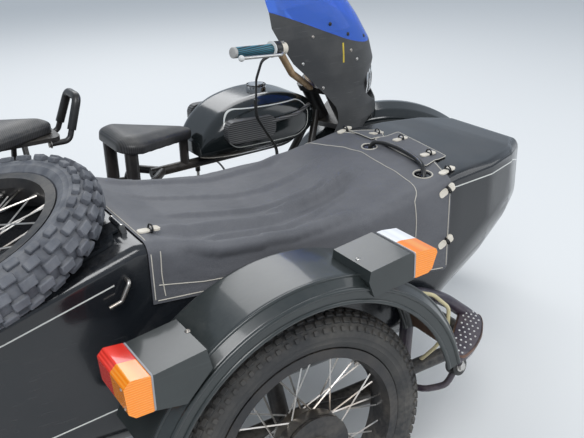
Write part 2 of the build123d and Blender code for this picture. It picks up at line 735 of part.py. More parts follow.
lens("red_lens", [REAR_LENS], BOX_INNER, BOX_SPLIT)
lens("clear_lens", [FRONT_LENS], BOX_INNER, BOX_SPLIT)
lens("amber_lenses", [REAR_LENS, FRONT_LENS], BOX_SPLIT - SEAT_GAP, BOX_OUTER)

# Sidecar body: sections across it, from the tail to the nose.
# Columns: place, half width, floor, top, floor corner radius, top corner radius.
HULL_SECTIONS = (
    (-620, 150, 470, 668, 60, 30),
    (-560, 222, 420, 698, 80, 26),
    (-300, 264, 355, 775, 110, 24),
    (0, HULL_HALF_WIDTH, HULL_FLOOR, TRUNK_EDGE_Z, 120, 22),
    (45, HULL_HALF_WIDTH, HULL_FLOOR, 862, 120, 22),
    (160, HULL_HALF_WIDTH, HULL_FLOOR, 818, 120, 22),
    (400, HULL_HALF_WIDTH, HULL_FLOOR, 780, 120, 22),
    (620, HULL_HALF_WIDTH, HULL_FLOOR, 778, 120, 22),
    (820, 272, HULL_FLOOR, 808, 120, 22),
    (940, 268, 366, 826, 215, 22),
    (1080, 254, 444, 828, 210, 22),
    (1200, 214, 524, 832, 165, 24),
    (1285, 158, 562, 828, 120, 26),
    (1328, 108, 604, 802, 80, 30),
    (1352, 60, 645, 770, 50, 30),
)


def hull_shape(grow, first=0, last=len(HULL_SECTIONS)):
    """The filled shape of the sidecar body, grown on every side but its ends."""
    with BuildPart() as shape:
        for x, half_width, floor, top, low_radius, high_radius in HULL_SECTIONS[first:last]:
            wide = half_width + grow
            left, right = HULL_Y + wide, HULL_Y - wide
            corners = [(right, floor - grow), (left, floor - grow), (left, top + grow), (right, top + grow)]
            low, high = low_radius + grow, high_radius + grow
            with BuildSketch(lateral_plane(x)):
                with BuildLine():
                    FilletPolyline(*corners, radius=[low, low, high, high], close=True)
                make_face()
        loft(ruled=True)
    return shape


# Openings in the body's top. Columns: rear, front, half width.
TRUNK_OPENING = (-470, -48, 185)
COCKPIT_OPENING = (72, 862, 232)
SEAT_BACK_X = 25.0
with BuildPart() as hollow:
    add(hull_shape(-HULL_WALL, 1, len(HULL_SECTIONS) - 1).part)
    with BuildSketch(lateral_plane(SEAT_BACK_X)):
        with Locations((HULL_Y, 600)):
            Rectangle(700, 700)
    extrude(amount=HULL_WALL, mode=Mode.SUBTRACT)

with BuildPart() as hull:
    add(hull_shape(0).part)
    add(hollow.part, mode=Mode.SUBTRACT)
    for rear, front, half_width in (TRUNK_OPENING, COCKPIT_OPENING):
        with BuildSketch(level_plane(700)):
            with Locations(((rear + front) / 2, HULL_Y)):
                RectangleRounded(front - rear, 2 * half_width, 40)
        extrude(amount=300, mode=Mode.SUBTRACT)
save(hull, "sidecar_body")

# Shock absorber and fender of the sidecar wheel, held by the body's side.
with BuildPart() as car_shock:
    rod([at(SIDECAR_WHEEL_LEAD - 6, -1044, TYRE_RADIUS + 22), at(250, -1026, 640)], 22)
    rod([at(252, -1024, 622), at(252, HULL_SIDE_Y - SEAT_GAP, 622)], 12)
save(car_shock, "sidecar_shock_absorber")

with BuildPart() as car_fender:
    fender(CAR_CENTRE, CAR_FENDER_POINTS, CAR_FENDER_BENDS, 14, 156)
    for angle in (25, 140):
        spot = radians(angle)
        x = SIDECAR_WHEEL_LEAD + 437 * cos(spot)
        z = TYRE_RADIUS + 437 * sin(spot)
        rod([at(x, -1022, z), at(x, HULL_SIDE_Y + 5, z)], 10)
    add(hull.part, mode=Mode.SUBTRACT)
save(car_fender, "sidecar_fender")

# Trunk lid with its hinge knuckles and the spare wheel's stud.
LID_REAR, LID_FRONT, LID_HALF_WIDTH = 520.0, 16.0, 212.0
HINGE_BACK, HINGE_LIFT = -9.0, 12.0
HINGE_RADIUS = 7.0
with BuildPart() as lid:
    with BuildSketch(trunk_plane((LID_REAR + LID_FRONT) / 2, 1.0)):
        RectangleRounded(LID_REAR - LID_FRONT, 2 * LID_HALF_WIDTH, 36)
    extrude(amount=LID_THICKNESS)
    with BuildSketch(trunk_plane(SPARE_BACK, LID_THICKNESS)):
        Circle(34)
    extrude(amount=SPARE_LIFT - HUB_HALF_WIDTH - LID_THICKNESS - SEAT_GAP)
    with BuildSketch(trunk_plane(SPARE_BACK, LID_THICKNESS)):
        Circle(AXLE_RADIUS)
    extrude(amount=SPARE_LIFT + HUB_HALF_WIDTH - LID_THICKNESS + 22)
    for left in (150, -150):
        ends = [trunk_point(HINGE_BACK, HINGE_LIFT, left + half) for half in (25, -25)]
        rod(ends, HINGE_RADIUS)
        with BuildSketch(trunk_plane((LID_FRONT + HINGE_BACK) / 2 + 6, 5.0)):
            with Locations((0, left)):
                Rectangle(LID_FRONT - HINGE_BACK + 12, 50)
        extrude(amount=5)
save(lid, "trunk_lid")

# Wing nut that holds the spare wheel down: a collar in the open drum and two wings.
DRUM_FLOOR = SPARE_LIFT + HUB_HALF_WIDTH - DRUM_WIDTH + DRUM_WALL
with BuildPart() as spare_nut:
    for stand, height, wings in ((DRUM_FLOOR + SEAT_GAP, 30, False), (DRUM_FLOOR + 30, 12, True)):
        with BuildSketch(trunk_plane(SPARE_BACK, stand)):
            Circle(24)
            if wings:
                RectangleRounded(16, 96, 7)
            Circle(AXLE_RADIUS + RUNNING_FIT, mode=Mode.SUBTRACT)
        extrude(amount=height)
save(spare_nut, "spare_nut")

# Hinge brackets on the body, one each side of each knuckle.
with BuildPart() as lid_hinges:
    for left in (150, -150):
        for outward in (1, -1):
            foot = left + outward * (25 + 4)
            ends = [trunk_point(HINGE_BACK, HINGE_LIFT, foot + half) for half in (-3.5, 3.5)]
            rod(ends, HINGE_RADIUS)
            with BuildSketch(trunk_plane(HINGE_BACK, -4.0)):
                with Locations((0, foot)):
                    Rectangle(12, 7)
            extrude(amount=HINGE_LIFT + 4.0)
    add(hull.part, mode=Mode.SUBTRACT)
save(lid_hinges, "lid_hinges")

# Tonneau cover: a sheet over the body from the seat back to the front deck, with flaps down its sides.
# Columns: place, lower edge.
TONNEAU_HEM = ((22, 722), (160, 708), (600, 662), (800, 560), (900, 545), (956, 600), (956, 900), (22, 900))
with BuildPart() as tonneau:
    add(hull_shape(SEAT_GAP + TONNEAU_THICKNESS).part)
    add(hull_shape(SEAT_GAP).part, mode=Mode.SUBTRACT)
    with BuildSketch(side_plane(0)):
        with BuildLine():
            Polyline(*TONNEAU_HEM, close=True)
        make_face()
    extrude(amount=1100, mode=Mode.INTERSECT)
save(tonneau, "tonneau_cover")

# Front step bar: a bent tube ahead of the sidecar wheel, stayed back to the sidecar frame.
with BuildPart() as step_bar:
    rod(
        [
            at(740, CHASSIS_OUTER, CHASSIS_Z),
            at(760, -1000, 528),
            at(862, -1004, 482),
            at(966, -1036, 400),
            at(905, -1128, 388),
            at(772, -1152, 384),
        ],
        19,
        bend=[28, 28, 28, 28],
    )
    stay = [at(790, -1149, 384), at(764, -1150, 322), at(700, -1092, 290), at(690, CHASSIS_OUTER, CHASSIS_Z)]
    rod(stay, 9, bend=16)
    add(chassis.part, mode=Mode.SUBTRACT)
save(step_bar, "step_bar")

# Lamp wires in a pale hose: out of the fender, round the step bar and down to the frame.
HOSE_RADIUS = 5.5
with BuildPart() as lamp_hose:
    rod(
        [
            at(684, -1018, 540),
            at(704, -996, 552),
            at(786, -1044, 536),
            at(842, -1050, 480),
            at(848, -1044, 395),
            at(830, -1014, 335),
            at(800, CHASSIS_OUTER, CHASSIS_Z + 12),
        ],
        HOSE_RADIUS,
        bend=[12, 40, 40, 40, 30],
    )
    add(car_fender.part, mode=Mode.SUBTRACT)
    add(chassis.part, mode=Mode.SUBTRACT)
save(lamp_hose, "lamp_hose")

# Hooked handle on the body's side behind the seat.
with BuildPart() as body_handle:
    reach = HULL_SIDE_Y - 16
    foot = at(-30, HULL_SIDE_Y + 3, 800)
    rod([foot, at(-30, reach, 800), at(-52, reach, 760), at(-80, reach, 752)], 5, bend=8)
    add(hull.part, mode=Mode.SUBTRACT)
save(body_handle, "body_handle")

# Steered pieces, made pointing straight ahead and turned to rest.
# The front fender stands a little behind and above its wheel, which leaves room for the fork's travel.
FRONT_FENDER_CENTRE = (FRONT_CENTRE[0] - 10, FRONT_CENTRE[1], FRONT_CENTRE[2] + 22)
with BuildPart() as front_fender:
    fender(FRONT_FENDER_CENTRE, bike_fender_section(358, FRONT_FENDER_RADIUS), [16, 30, 30, 16], 26, 184)
save(front_fender, "front_fender", turned=True)

BAR_FOOT = steer_point(UPPER_CLAMP_ALONG + CLAMP_THICKNESS / 2 + HANDLEBAR_RADIUS + SEAT_GAP, 18, 0)
GRIP_INNER, GRIP_OUTER = (926, 322, 1156), (799, 420, 1187)
with BuildPart() as handlebar:
    for side in (1, -1):
        knees = [at(1078, 128 * side, 922), at(1000, 222 * side, 1022), at(944, 308 * side, 1150)]
        foot = Vector(*BAR_FOOT)
        tip = at(GRIP_OUTER[0], GRIP_OUTER[1] * side, GRIP_OUTER[2])
        rod([foot, foot + Vector(0, 70 * side, 0), *knees, tip], HANDLEBAR_RADIUS, bend=[24, 34, 60, 40])
save(handlebar, "handlebar", turned=True)

with BuildPart() as grips:
    for side in (1, -1):
        ends = [at(x, y * side, z) for x, y, z in (GRIP_INNER, GRIP_OUTER)]
        rod(ends, 17)
    add(handlebar.part, mode=Mode.SUBTRACT)
save(grips, "grips", turned=True)

# Lever perches, levers that follow the grips, and the throttle's housing on the right.
LEVER_RADIUS = 5.0
LEVER_POINTS = ((934, 316, 1153), (962, 352, 1153), (824, 460, 1188))
with BuildPart() as levers:
    for side in (1, -1):
        rod([at(942, 309 * side, 1151), at(928, 321 * side, 1155.5)], 20)
        points = [at(x, y * side, z) for x, y, z in LEVER_POINTS]
        rod(points, LEVER_RADIUS, bend=20)
        with Locations(points[-1]):
            Sphere(9)
    add(handlebar.part, mode=Mode.SUBTRACT)
    add(grips.part, mode=Mode.SUBTRACT)
save(levers, "levers", turned=True)

CABLE_POINTS = ((937, -316, 1142), (891, -345, 1125), (874, -361, 1066), (875, -371, 1000))
with BuildPart() as throttle_cables:
    for index in range(2):
        shift = CABLE_PITCH * index
        rod([at(x, y + shift, z) for x, y, z in CABLE_POINTS], CABLE_RADIUS, bend=[26, 60])
    add(levers.part, mode=Mode.SUBTRACT)
    add(handlebar.part, mode=Mode.SUBTRACT)
save(throttle_cables, "throttle_cables", turned=True)

# Fairing and windscreen: one thin shell cut in two along a slope.
# Columns: height, rear edge, front, half width at the rear edge, radius of the nose.
FAIRING_SECTIONS = (
    (735, 1176, 1318, 138, 132),
    (790, 1189, 1345, 143, 130),
    (840, 1180, 1336, 160, 135),
    (866, 1170, 1322, 169, 138),
    (920, 1131, 1306, 190, 142),
    (993, 1067, 1311, 216, 148),
    (1060, 1003, 1290, 231, 152),
    (1142, 952, 1240, 240, 154),
    (1188, 925, 1206, 239, 150),
    (1240, 914, 1160, 236, 144),
    (1300, 892, 1104, 226, 134),
    (1400, 872, 1010, 200, 112),
)
FAIRING_WALL = 4.0
SCREEN_FRONT = (1250, 1081)
SCREEN_REAR = (918, 1240)
SCREEN_TOP = 1385.0
LAMP_Z = 905.0
LAMP_RADIUS = 84.0
LAMP_FACE_X = 1288.0


def nose_touch(rear, half, centre, radius):
    """The point where a line from the rear edge touches the round nose."""
    reach = Vector(rear - centre, half)
    turn = atan2(reach.Y, reach.X) - acos(radius / reach.length)
    return (centre + radius * cos(turn), radius * sin(turn))


def fairing_shape(inset):
    """The filled shape of the fairing, its face set in by so much."""
    with BuildPart() as shape:
        for height, rear, front, rear_half, nose_radius in FAIRING_SECTIONS:
            half, radius = rear_half - inset, nose_radius - inset
            touch_x, touch_y = nose_touch(rear, half, front - nose_radius, radius)
            with BuildSketch(level_plane(height)):
                with BuildLine():
                    Polyline((touch_x, touch_y), (rear, half), (rear, -half), (touch_x, -touch_y))
                    ThreePointArc((touch_x, -touch_y), (front - inset, 0), (touch_x, touch_y))
                make_face()
        loft(ruled=True)
    return shape


fairing_room = fairing_shape(FAIRING_WALL + SEAT_GAP)
with BuildPart() as shell:
    add(fairing_shape(0).part)
    add(fairing_shape(FAIRING_WALL).part, mode=Mode.SUBTRACT)
SCREEN_FALL = (SCREEN_FRONT[1] - SCREEN_REAR[1]) / (SCREEN_FRONT[0] - SCREEN_REAR[0])
screen_plane = Plane(
    origin=at(SCREEN_REAR[0], 0, SCREEN_REAR[1]),
    x_dir=(1, 0, SCREEN_FALL),
    z_dir=(-SCREEN_FALL, 0, 1),
)
with BuildPart() as fairing:
    add(shell.part)
    split(bisect_by=screen_plane, keep=Keep.BOTTOM)
    # Room for the front fender.
    with BuildSketch(Plane(origin=FRONT_FENDER_CENTRE, x_dir=(1, 0, 0), z_dir=(0, -1, 0))):
        Circle(FRONT_FENDER_RADIUS + FENDER_WALL + 12)
    extrude(amount=FENDER_FACE_Y + 12, both=True, mode=Mode.SUBTRACT)
    with BuildSketch(lateral_plane(LAMP_FACE_X - 60)):
        with Locations((0, LAMP_Z)):
            Circle(LAMP_RADIUS + SEAT_GAP)
    extrude(amount=300, mode=Mode.SUBTRACT)
save(fairing, "fairing", turned=True)

# What lies outside the fairing's inner face, for trimming the fork's brackets to it.
with BuildPart() as fairing_outside:
    with BuildSketch(steer_plane(FAIRING_STAY_ALONG - 20)):
        with Locations((FORK_OFFSET, 215), (FORK_OFFSET, -215)):
            Rectangle(260, 170)
    extrude(amount=40)
    add(fairing_room.part, mode=Mode.SUBTRACT)

with BuildPart() as fork:
    for side in (1, -1):
        leg = side * FORK_LEG_Y
        lug = AXLE_ALONG + SLIDER_LENGTH - 14
        for low, high, radius in (
            (AXLE_ALONG + SLIDER_LENGTH - 20, UPPER_CLAMP_ALONG + 14, STANCHION_RADIUS),
            (AXLE_ALONG - 30, AXLE_ALONG + SLIDER_LENGTH, SLIDER_RADIUS),
        ):
            rod([steer_point(low, FORK_OFFSET, leg), steer_point(high, FORK_OFFSET, leg)], radius)
        rod([steer_point(lug, FORK_OFFSET, leg), steer_point(lug, FORK_OFFSET, FENDER_FACE_Y * side)], 9)
        # Brackets out to the fairing's wall.
        reach = steer_point(FAIRING_STAY_ALONG, FORK_OFFSET + 70, 200 * side)
        rod([steer_point(FAIRING_STAY_ALONG, FORK_OFFSET, leg), reach], 8)
    for along in (LOWER_CLAMP_ALONG, UPPER_CLAMP_ALONG):
        with BuildSketch(steer_plane(along - CLAMP_THICKNESS / 2)):
            Circle(32)
            with Locations((FORK_OFFSET, FORK_LEG_Y), (FORK_OFFSET, -FORK_LEG_Y)):
                Circle(25)
            make_hull()
        extrude(amount=CLAMP_THICKNESS)
    rod([steer_point(LOWER_CLAMP_ALONG, 0, 0), steer_point(UPPER_CLAMP_ALONG, 0, 0)], STEM_RADIUS)
    axle_ends = [steer_point(AXLE_ALONG, FORK_OFFSET, FORK_LEG_Y * side) for side in (1, -1)]
    rod(axle_ends, AXLE_RADIUS)
    drum_face = steer_point(AXLE_ALONG, FORK_OFFSET, -HUB_HALF_WIDTH - PLATE_GAP)
    with BuildSketch(Plane(origin=drum_face, x_dir=(1, 0, 0), z_dir=(0, -1, 0))):
        Circle(DRUM_RADIUS)
    extrude(amount=10)
    add(fairing_outside.part, mode=Mode.SUBTRACT)
save(fork, "fork", turned=True)

with BuildPart() as windscreen_arch:
    with BuildSketch(lateral_plane(700)):
        with BuildLine():
            Polyline((-205, 1300), (-270, 1230), (-270, 1000), (270, 1000), (270, 1230), (205, 1300))
            ThreePointArc((205, 1300), (0, SCREEN_TOP), (-205, 1300))
        make_face()
    extrude(amount=800)
    split(bisect_by=screen_plane.offset(SEAT_GAP), keep=Keep.TOP)

with BuildPart() as windscreen:
    add(shell.part)
    add(windscreen_arch.part, mode=Mode.INTERSECT)
save(windscreen, "windscreen", turned=True)

with BuildPart() as headlamp:
    with BuildSketch(side_plane(0)):
        with BuildLine():
            rim_z = LAMP_Z + LAMP_RADIUS
            Polyline(
                (LAMP_FACE_X - 94, LAMP_Z),
                (LAMP_FACE_X - 94, LAMP_Z + 40),
                (LAMP_FACE_X - 70, LAMP_Z + 66),
                (LAMP_FACE_X - 24, rim_z),
                (LAMP_FACE_X, rim_z),
                (LAMP_FACE_X, LAMP_Z),
                close=True,
            )
        make_face()
    revolve(axis=Axis(at(0, 0, LAMP_Z), (1, 0, 0)))
save(headlamp, "headlamp", turned=True)

with BuildPart() as headlamp_lens:
    for stand, depth, taper in ((SEAT_GAP, 8, 0), (SEAT_GAP + 8, 14, 60)):
        with BuildSketch(lateral_plane(LAMP_FACE_X + stand)):
            with Locations((0, LAMP_Z)):
                Circle(LAMP_RADIUS - 8)
        extrude(amount=depth, taper=taper)
save(headlamp_lens, "headlamp_lens", turned=True)
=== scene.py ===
"""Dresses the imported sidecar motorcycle: finishes for its CAD nodes, and the pieces that the solids leave out."""

import json
from functools import partial
from math import asin, cos, exp, hypot, pi, radians, sin, sqrt

import bpy
from bpy.props import FloatProperty, FloatVectorProperty, PointerProperty
from mathutils import Matrix, Vector, kdtree, noise
from mathutils.bvhtree import BVHTree


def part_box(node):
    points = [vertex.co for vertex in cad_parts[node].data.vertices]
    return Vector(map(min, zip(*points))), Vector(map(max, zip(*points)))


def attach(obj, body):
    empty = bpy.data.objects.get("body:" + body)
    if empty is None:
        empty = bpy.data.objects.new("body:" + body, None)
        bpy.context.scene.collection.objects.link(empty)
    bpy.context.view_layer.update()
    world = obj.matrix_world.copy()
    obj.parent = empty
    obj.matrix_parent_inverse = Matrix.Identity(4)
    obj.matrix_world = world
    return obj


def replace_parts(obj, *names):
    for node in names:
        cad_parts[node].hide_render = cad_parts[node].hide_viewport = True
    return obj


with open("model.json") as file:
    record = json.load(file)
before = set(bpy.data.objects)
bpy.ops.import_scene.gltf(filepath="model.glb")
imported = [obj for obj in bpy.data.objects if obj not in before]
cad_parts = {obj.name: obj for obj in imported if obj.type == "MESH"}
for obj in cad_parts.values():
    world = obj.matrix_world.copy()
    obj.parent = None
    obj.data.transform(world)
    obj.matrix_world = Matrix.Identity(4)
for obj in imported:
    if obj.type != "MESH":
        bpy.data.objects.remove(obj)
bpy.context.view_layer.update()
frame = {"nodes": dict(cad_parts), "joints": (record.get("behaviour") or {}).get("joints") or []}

bl_info = {
    "name": "Sidecar motorcycle",
    "version": (1, 0, 0),
    "blender": (4, 5, 0),
    "location": "View3D > Sidebar > Sidecar",
    "description": "Dresses the packed sidecar motorcycle with its finishes and small pieces",
    "category": "Object",
}

# The CAD's places run forward from the rear axle, left from the motorcycle's middle and up from the ground.
REAR_AXLE_X = -0.5461
BIKE_Y = 0.399
RAKE = radians(27)
STEER_AT_REST = radians(-32)
STEER_FOOT = Vector((REAR_AXLE_X + 1.520, BIKE_Y, 0))
STEER_AXIS = Vector((-sin(RAKE), 0, cos(RAKE)))
HULL_Y = -0.695
TRUNK_SLOPE = radians(16.5)
TRUNK_EDGE_Z = 0.864
SPARE_BACK, SPARE_LIFT = 0.318, 0.072
FENDER_CENTRE = (0.300, -1.140, 0.340)
ENGINE_X, ENGINE_Z = 0.720, 0.405


def at(x, y, z):
    """A point given from the rear axle, the motorcycle's middle and the ground, in metres."""
    return Vector((REAR_AXLE_X + x, BIKE_Y + y, z))


def turned(point):
    """A point of a steered piece, given straight ahead, where the turned bars put it."""
    return STEER_FOOT + Matrix.Rotation(STEER_AT_REST, 3, STEER_AXIS) @ (Vector(point) - STEER_FOOT)


class SidecarSizes(bpy.types.PropertyGroup):
    """The sizes of the dressed pieces."""

    fold: FloatProperty(
        name="Fold height", description="How far the cover's folds rise", default=0.018, unit="LENGTH",
    )
    cloth: FloatProperty(name="Cloth thickness", description="Thickness of the cover", default=0.0016, unit="LENGTH")
    thread: FloatProperty(
        name="Thread radius", description="Radius of the pale stitching", default=0.0012, unit="LENGTH",
    )
    tread: FloatProperty(
        name="Tread depth", description="Depth of the road tyres' tread", default=0.006, unit="LENGTH",
    )
    knob: FloatProperty(
        name="Knob depth", description="Depth of the spare tyre's knobs", default=0.013, unit="LENGTH",
    )
    bead: FloatProperty(name="Fender bead", description="Radius of the fender's beads", default=0.0058, unit="LENGTH")
    bolt: FloatProperty(name="Bolt size", description="Radius of a common bolt's head", default=0.007, unit="LENGTH")


def colour_setting(name, text, *value):
    """A colour that a user may change."""
    return FloatVectorProperty(name=name, description=text, default=value, size=3, min=0, max=1, subtype="COLOR")


class SidecarColours(bpy.types.PropertyGroup):
    """The colours of the finishes."""

    body: colour_setting("Body", "Paint of the sidecar's body", 0.010, 0.012, 0.015)
    fender: colour_setting("Fender", "Paint of the sidecar's fender", 0.016, 0.021, 0.021)
    tank: colour_setting("Tank", "Paint of the tank", 0.007, 0.010, 0.011)
    rear: colour_setting("Rear fender", "Paint of the rear fender", 0.060, 0.022, 0.018)
    cover: colour_setting("Cover", "Coated cloth of the cover", 0.105, 0.106, 0.116)
    thread: colour_setting("Thread", "Stitching and leather tabs", 0.62, 0.58, 0.50)
    line: colour_setting("Lines", "Painted lines", 0.62, 0.62, 0.58)
    grip: colour_setting("Grips", "Rubber of the grips", 0.018, 0.150, 0.215)
    hose: colour_setting("Hose", "The lamp's hose", 0.66, 0.58, 0.34)


def sizes():
    """The scene's sizes."""
    return bpy.context.scene.sidecar_sizes


def colours():
    """The scene's colours."""
    return bpy.context.scene.sidecar_colours


# ---- Making pieces

WELD_GAP = 0.00005
# Thread lies this far above its cloth, follows it in steps, and is set down from outside towards the body's core.
THREAD_LIFT, STITCH_STEP, STITCH_CORE_Z, STITCH_REACH = 0.0006, 0.012, 0.66, 0.06


def clear_selection():
    """Leaves edit mode and selects nothing."""
    if bpy.context.object and bpy.context.object.mode != "OBJECT":
        bpy.ops.object.mode_set(mode="OBJECT")
    bpy.ops.object.select_all(action="DESELECT")


def take(piece):
    """Selects one piece alone and makes it active."""
    clear_selection()
    piece.select_set(True)
    bpy.context.view_layer.objects.active = piece
    return piece


def add(kind, matrix=None, **settings):
    """A new primitive, set where its matrix says, with that place applied to its mesh."""
    clear_selection()
    getattr(bpy.ops.mesh, f"primitive_{kind}_add")(**settings)
    piece = bpy.context.object
    if matrix is not None:
        piece.matrix_world = matrix
    return settle(piece)


def cuboid(place, size, turn=Matrix.Identity(4)):
    """A box with its middle on a place, turned there."""
    return add("cube", size=1, matrix=Matrix.Translation(place) @ turn @ Matrix.Diagonal((*size, 1)))


def rod(vertices, radius, depth, place, axis=(0, 0, 1)):
    """A cylinder with its middle on a place and its length along an axis."""
    return add("cylinder", vertices=vertices, radius=radius, depth=depth, matrix=facing(place, axis))


def ring(radius, thick, segments, matrix):
    """A round ring by its radius and its bar's, with segments round it and round the bar."""
    return add(
        "torus", major_radius=radius, minor_radius=thick, major_segments=segments[0], minor_segments=segments[1],
        matrix=matrix,
    )


def dot(segments, ring_count, radius, flat=1.0, place=(0, 0, 0)):
    """A ball on a place, flattened by a share."""
    matrix = Matrix.Translation(place) @ Matrix.Diagonal((1, 1, flat, 1))
    return add("uv_sphere", segments=segments, ring_count=ring_count, radius=radius, matrix=matrix)


def new_piece(name, mesh):
    """A piece in the scene with a ready mesh."""
    piece = bpy.data.objects.new(name, mesh)
    bpy.context.collection.objects.link(piece)
    return piece


def grid_faces(rows, columns):
    """The faces of a grid of points that is numbered row by row."""
    corners = [i * columns + j for i in range(rows - 1) for j in range(columns - 1)]
    return [(k, k + 1, k + columns + 1, k + columns) for k in corners]


def sheet_piece(name, points, faces):
    """A sheet from its points and faces, facing up."""
    mesh = bpy.data.meshes.new(name)
    mesh.from_pydata(points, [], faces)
    mesh.update()
    if mesh.polygons[len(mesh.polygons) // 2].normal.z < 0:
        mesh.flip_normals()
    return new_piece(name, mesh)


def welded_copy(node, name):
    """A copy of a CAD node with its split points merged."""
    piece = new_piece(name, frame["nodes"][node].data.copy())
    select(piece, "FACE", everything)
    bpy.ops.mesh.remove_doubles(threshold=WELD_GAP)
    return leave()


def cut(piece, cutter):
    """Cuts a piece with another, which then goes."""
    use(piece, "BOOLEAN", object=cutter, operation="DIFFERENCE", solver="EXACT")
    bpy.data.objects.remove(cutter)
    return piece


def settle(piece):
    """Applies a piece's place, turn and scale to its mesh."""
    take(piece)
    bpy.ops.object.transform_apply(location=True, rotation=True, scale=True)
    return piece


def select(piece, kind, test):
    """Goes into edit mode with only the faces, edges or points selected that pass the test."""
    take(piece)
    bpy.ops.object.mode_set(mode="EDIT")
    bpy.ops.mesh.select_mode(type=kind)
    bpy.ops.mesh.select_all(action="DESELECT")
    bpy.ops.object.mode_set(mode="OBJECT")
    mesh = piece.data
    if kind == "FACE":
        for face in mesh.polygons:
            face.select = test(face.center, face.normal)
    elif kind == "EDGE":
        for edge in mesh.edges:
            edge.select = test(*(mesh.vertices[i].co for i in edge.vertices))
    else:
        for point in mesh.vertices:
            point.select = test(point.co)
    bpy.ops.object.mode_set(mode="EDIT")


def leave():
    """Leaves edit mode."""
    bpy.ops.object.mode_set(mode="OBJECT")
    return bpy.context.object


def everything(*_):
    """Passes every face, edge or point."""
    return True


def bevel_edges(piece, width, segments=2, test=everything):
    """Rounds the edges that pass the test."""
    select(piece, "EDGE", test)
    bpy.ops.mesh.bevel(offset=width, segments=segments, profile=0.5, affect="EDGES", clamp_overlap=True)
    return leave()


def face_out(piece):
    """Points every face outwards."""
    select(piece, "FACE", everything)
    bpy.ops.mesh.normals_make_consistent(inside=False)
    return leave()


def use(piece, kind, **settings):
    """Adds a modifier, sets it and applies it."""
    take(piece)
    modifier = piece.modifiers.new(kind.title(), kind)
    for key, value in settings.items():
        setattr(modifier, key, value)
    bpy.ops.object.modifier_apply(modifier=modifier.name)
    return piece


def facing(place, axis, roll=0.0, scale=1.0):
    """A matrix that puts a piece's foot on a place with its own up along an axis."""
    turn = Vector(axis).to_track_quat("Z", "Y").to_matrix().to_4x4()
    return Matrix.Translation(place) @ turn @ Matrix.Rotation(roll, 4, "Z") @ Matrix.Scale(scale, 4)


def join(pieces):
    """Several pieces as one."""
    take(pieces[0])
    for piece in pieces[1:]:
        piece.select_set(True)
    if len(pieces) > 1:
        bpy.ops.object.join()
    return bpy.context.object


def repeat(source, places):
    """Copies of one piece, each with its own mesh, set on their places and then joined."""
    copies = []
    for place in places:
        copy = source.copy()
        copy.data = source.data.copy()
        bpy.context.collection.objects.link(copy)
        copy.matrix_world = place
        copies.append(settle(copy))
    bpy.data.objects.remove(source)
    return join(copies)


def finish(piece, name, finish_name, body="root", angle=35):
    """Names a piece, gives it its finish and sets it riding on its body."""
    take(piece)
    bpy.ops.object.shade_smooth_by_angle(angle=radians(angle))
    piece.name = name
    piece.data.name = name
    piece.data.materials.clear()
    piece.data.materials.append(M[finish_name])
    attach(piece, body)
    return piece


def tube(points, radius, closed=False, order=3, sides=3):
    """A round bar, thread or pipe along a smooth line, as a mesh."""
    clear_selection()
    curve = bpy.data.curves.new("Line", "CURVE")
    curve.dimensions = "3D"
    spline = curve.splines.new("NURBS")
    spline.points.add(len(points) - 1)
    for point, place in zip(spline.points, points):
        point.co = (*place, 1.0)
    spline.use_cyclic_u = closed
    spline.order_u = min(order, len(points))
    spline.use_endpoint_u = not closed
    spline.resolution_u = 4
    curve.bevel_depth = radius
    curve.bevel_resolution = sides
    curve.use_fill_caps = True
    take(new_piece("Line", curve))
    bpy.ops.object.convert(target="MESH")
    return face_out(bpy.context.object)


TREES = {}


def surface(name):
    """The surface of a CAD node or a piece, for finding places on it."""
    if name not in TREES:
        mesh = (frame["nodes"].get(name) or bpy.data.objects[name]).data
        corners = [tuple(face.vertices) for face in mesh.polygons]
        TREES[name] = BVHTree.FromPolygons([point.co.copy() for point in mesh.vertices], corners)
    return TREES[name]


def on_surface(name, start, towards):
    """Where a line first meets a node, and the way its surface faces there."""
    place, normal, _, _ = surface(name).ray_cast(Vector(start), Vector(towards).normalized())
    if place is None:
        raise ValueError(f"nothing of {name} lies that way from {tuple(start)}")
    if normal.dot(Vector(towards)) > 0:
        normal = -normal
    return place, normal


def highest(names, start):
    """Where a line straight down first meets one of several surfaces, and the way it faces there."""
    found = [surface(name).ray_cast(start, Vector((0, 0, -1)))[:2] for name in names]
    return max((hit for hit in found if hit[0] is not None), key=lambda hit: hit[0].z)


def nearest(name, point):
    """The nearest place on a node, and the way its surface faces there."""
    place, normal, _, _ = surface(name).find_nearest(Vector(point))
    return place, normal


def mirrored(point):
    """A point of the sidecar's body on its other side."""
    return (point[0], 2 * HULL_Y - point[1], *point[2:])


def hex_bolt(radius, height):
    """A hexagon head on a washer, standing on the origin."""
    washer = add("cylinder", vertices=20, radius=radius * 1.35, depth=radius * 0.3, location=(0, 0, radius * 0.1))
    head = add("cylinder", vertices=6, radius=radius, depth=height, location=(0, 0, height / 2 + radius * 0.2))
    head = bevel_edges(head, radius * 0.12, 1, lambda a, b: min(a.z, b.z) > height * 0.9)
    return join([head, washer])


def round_screw(radius):
    """A domed screw head with a cross in it, standing on the origin."""
    head = dot(16, 8, radius, 0.5)
    long, wide, deep = radius * 1.1, radius * 0.22, radius * 0.3
    for size in ((long, wide, deep), (wide, long, deep)):
        cut(head, cuboid((0, 0, radius * 0.5), size))
    return head


def bolts_on(name, piece, finish_name, body, places):
    """Copies of a bolt or screw set on a node where lines from outside meet it."""
    spots = []
    for node, start, towards in places:
        place, normal = on_surface(node, start, towards)
        spots.append(facing(place, normal))
    return finish(repeat(piece, spots), name, finish_name, body)


# ---- Materials

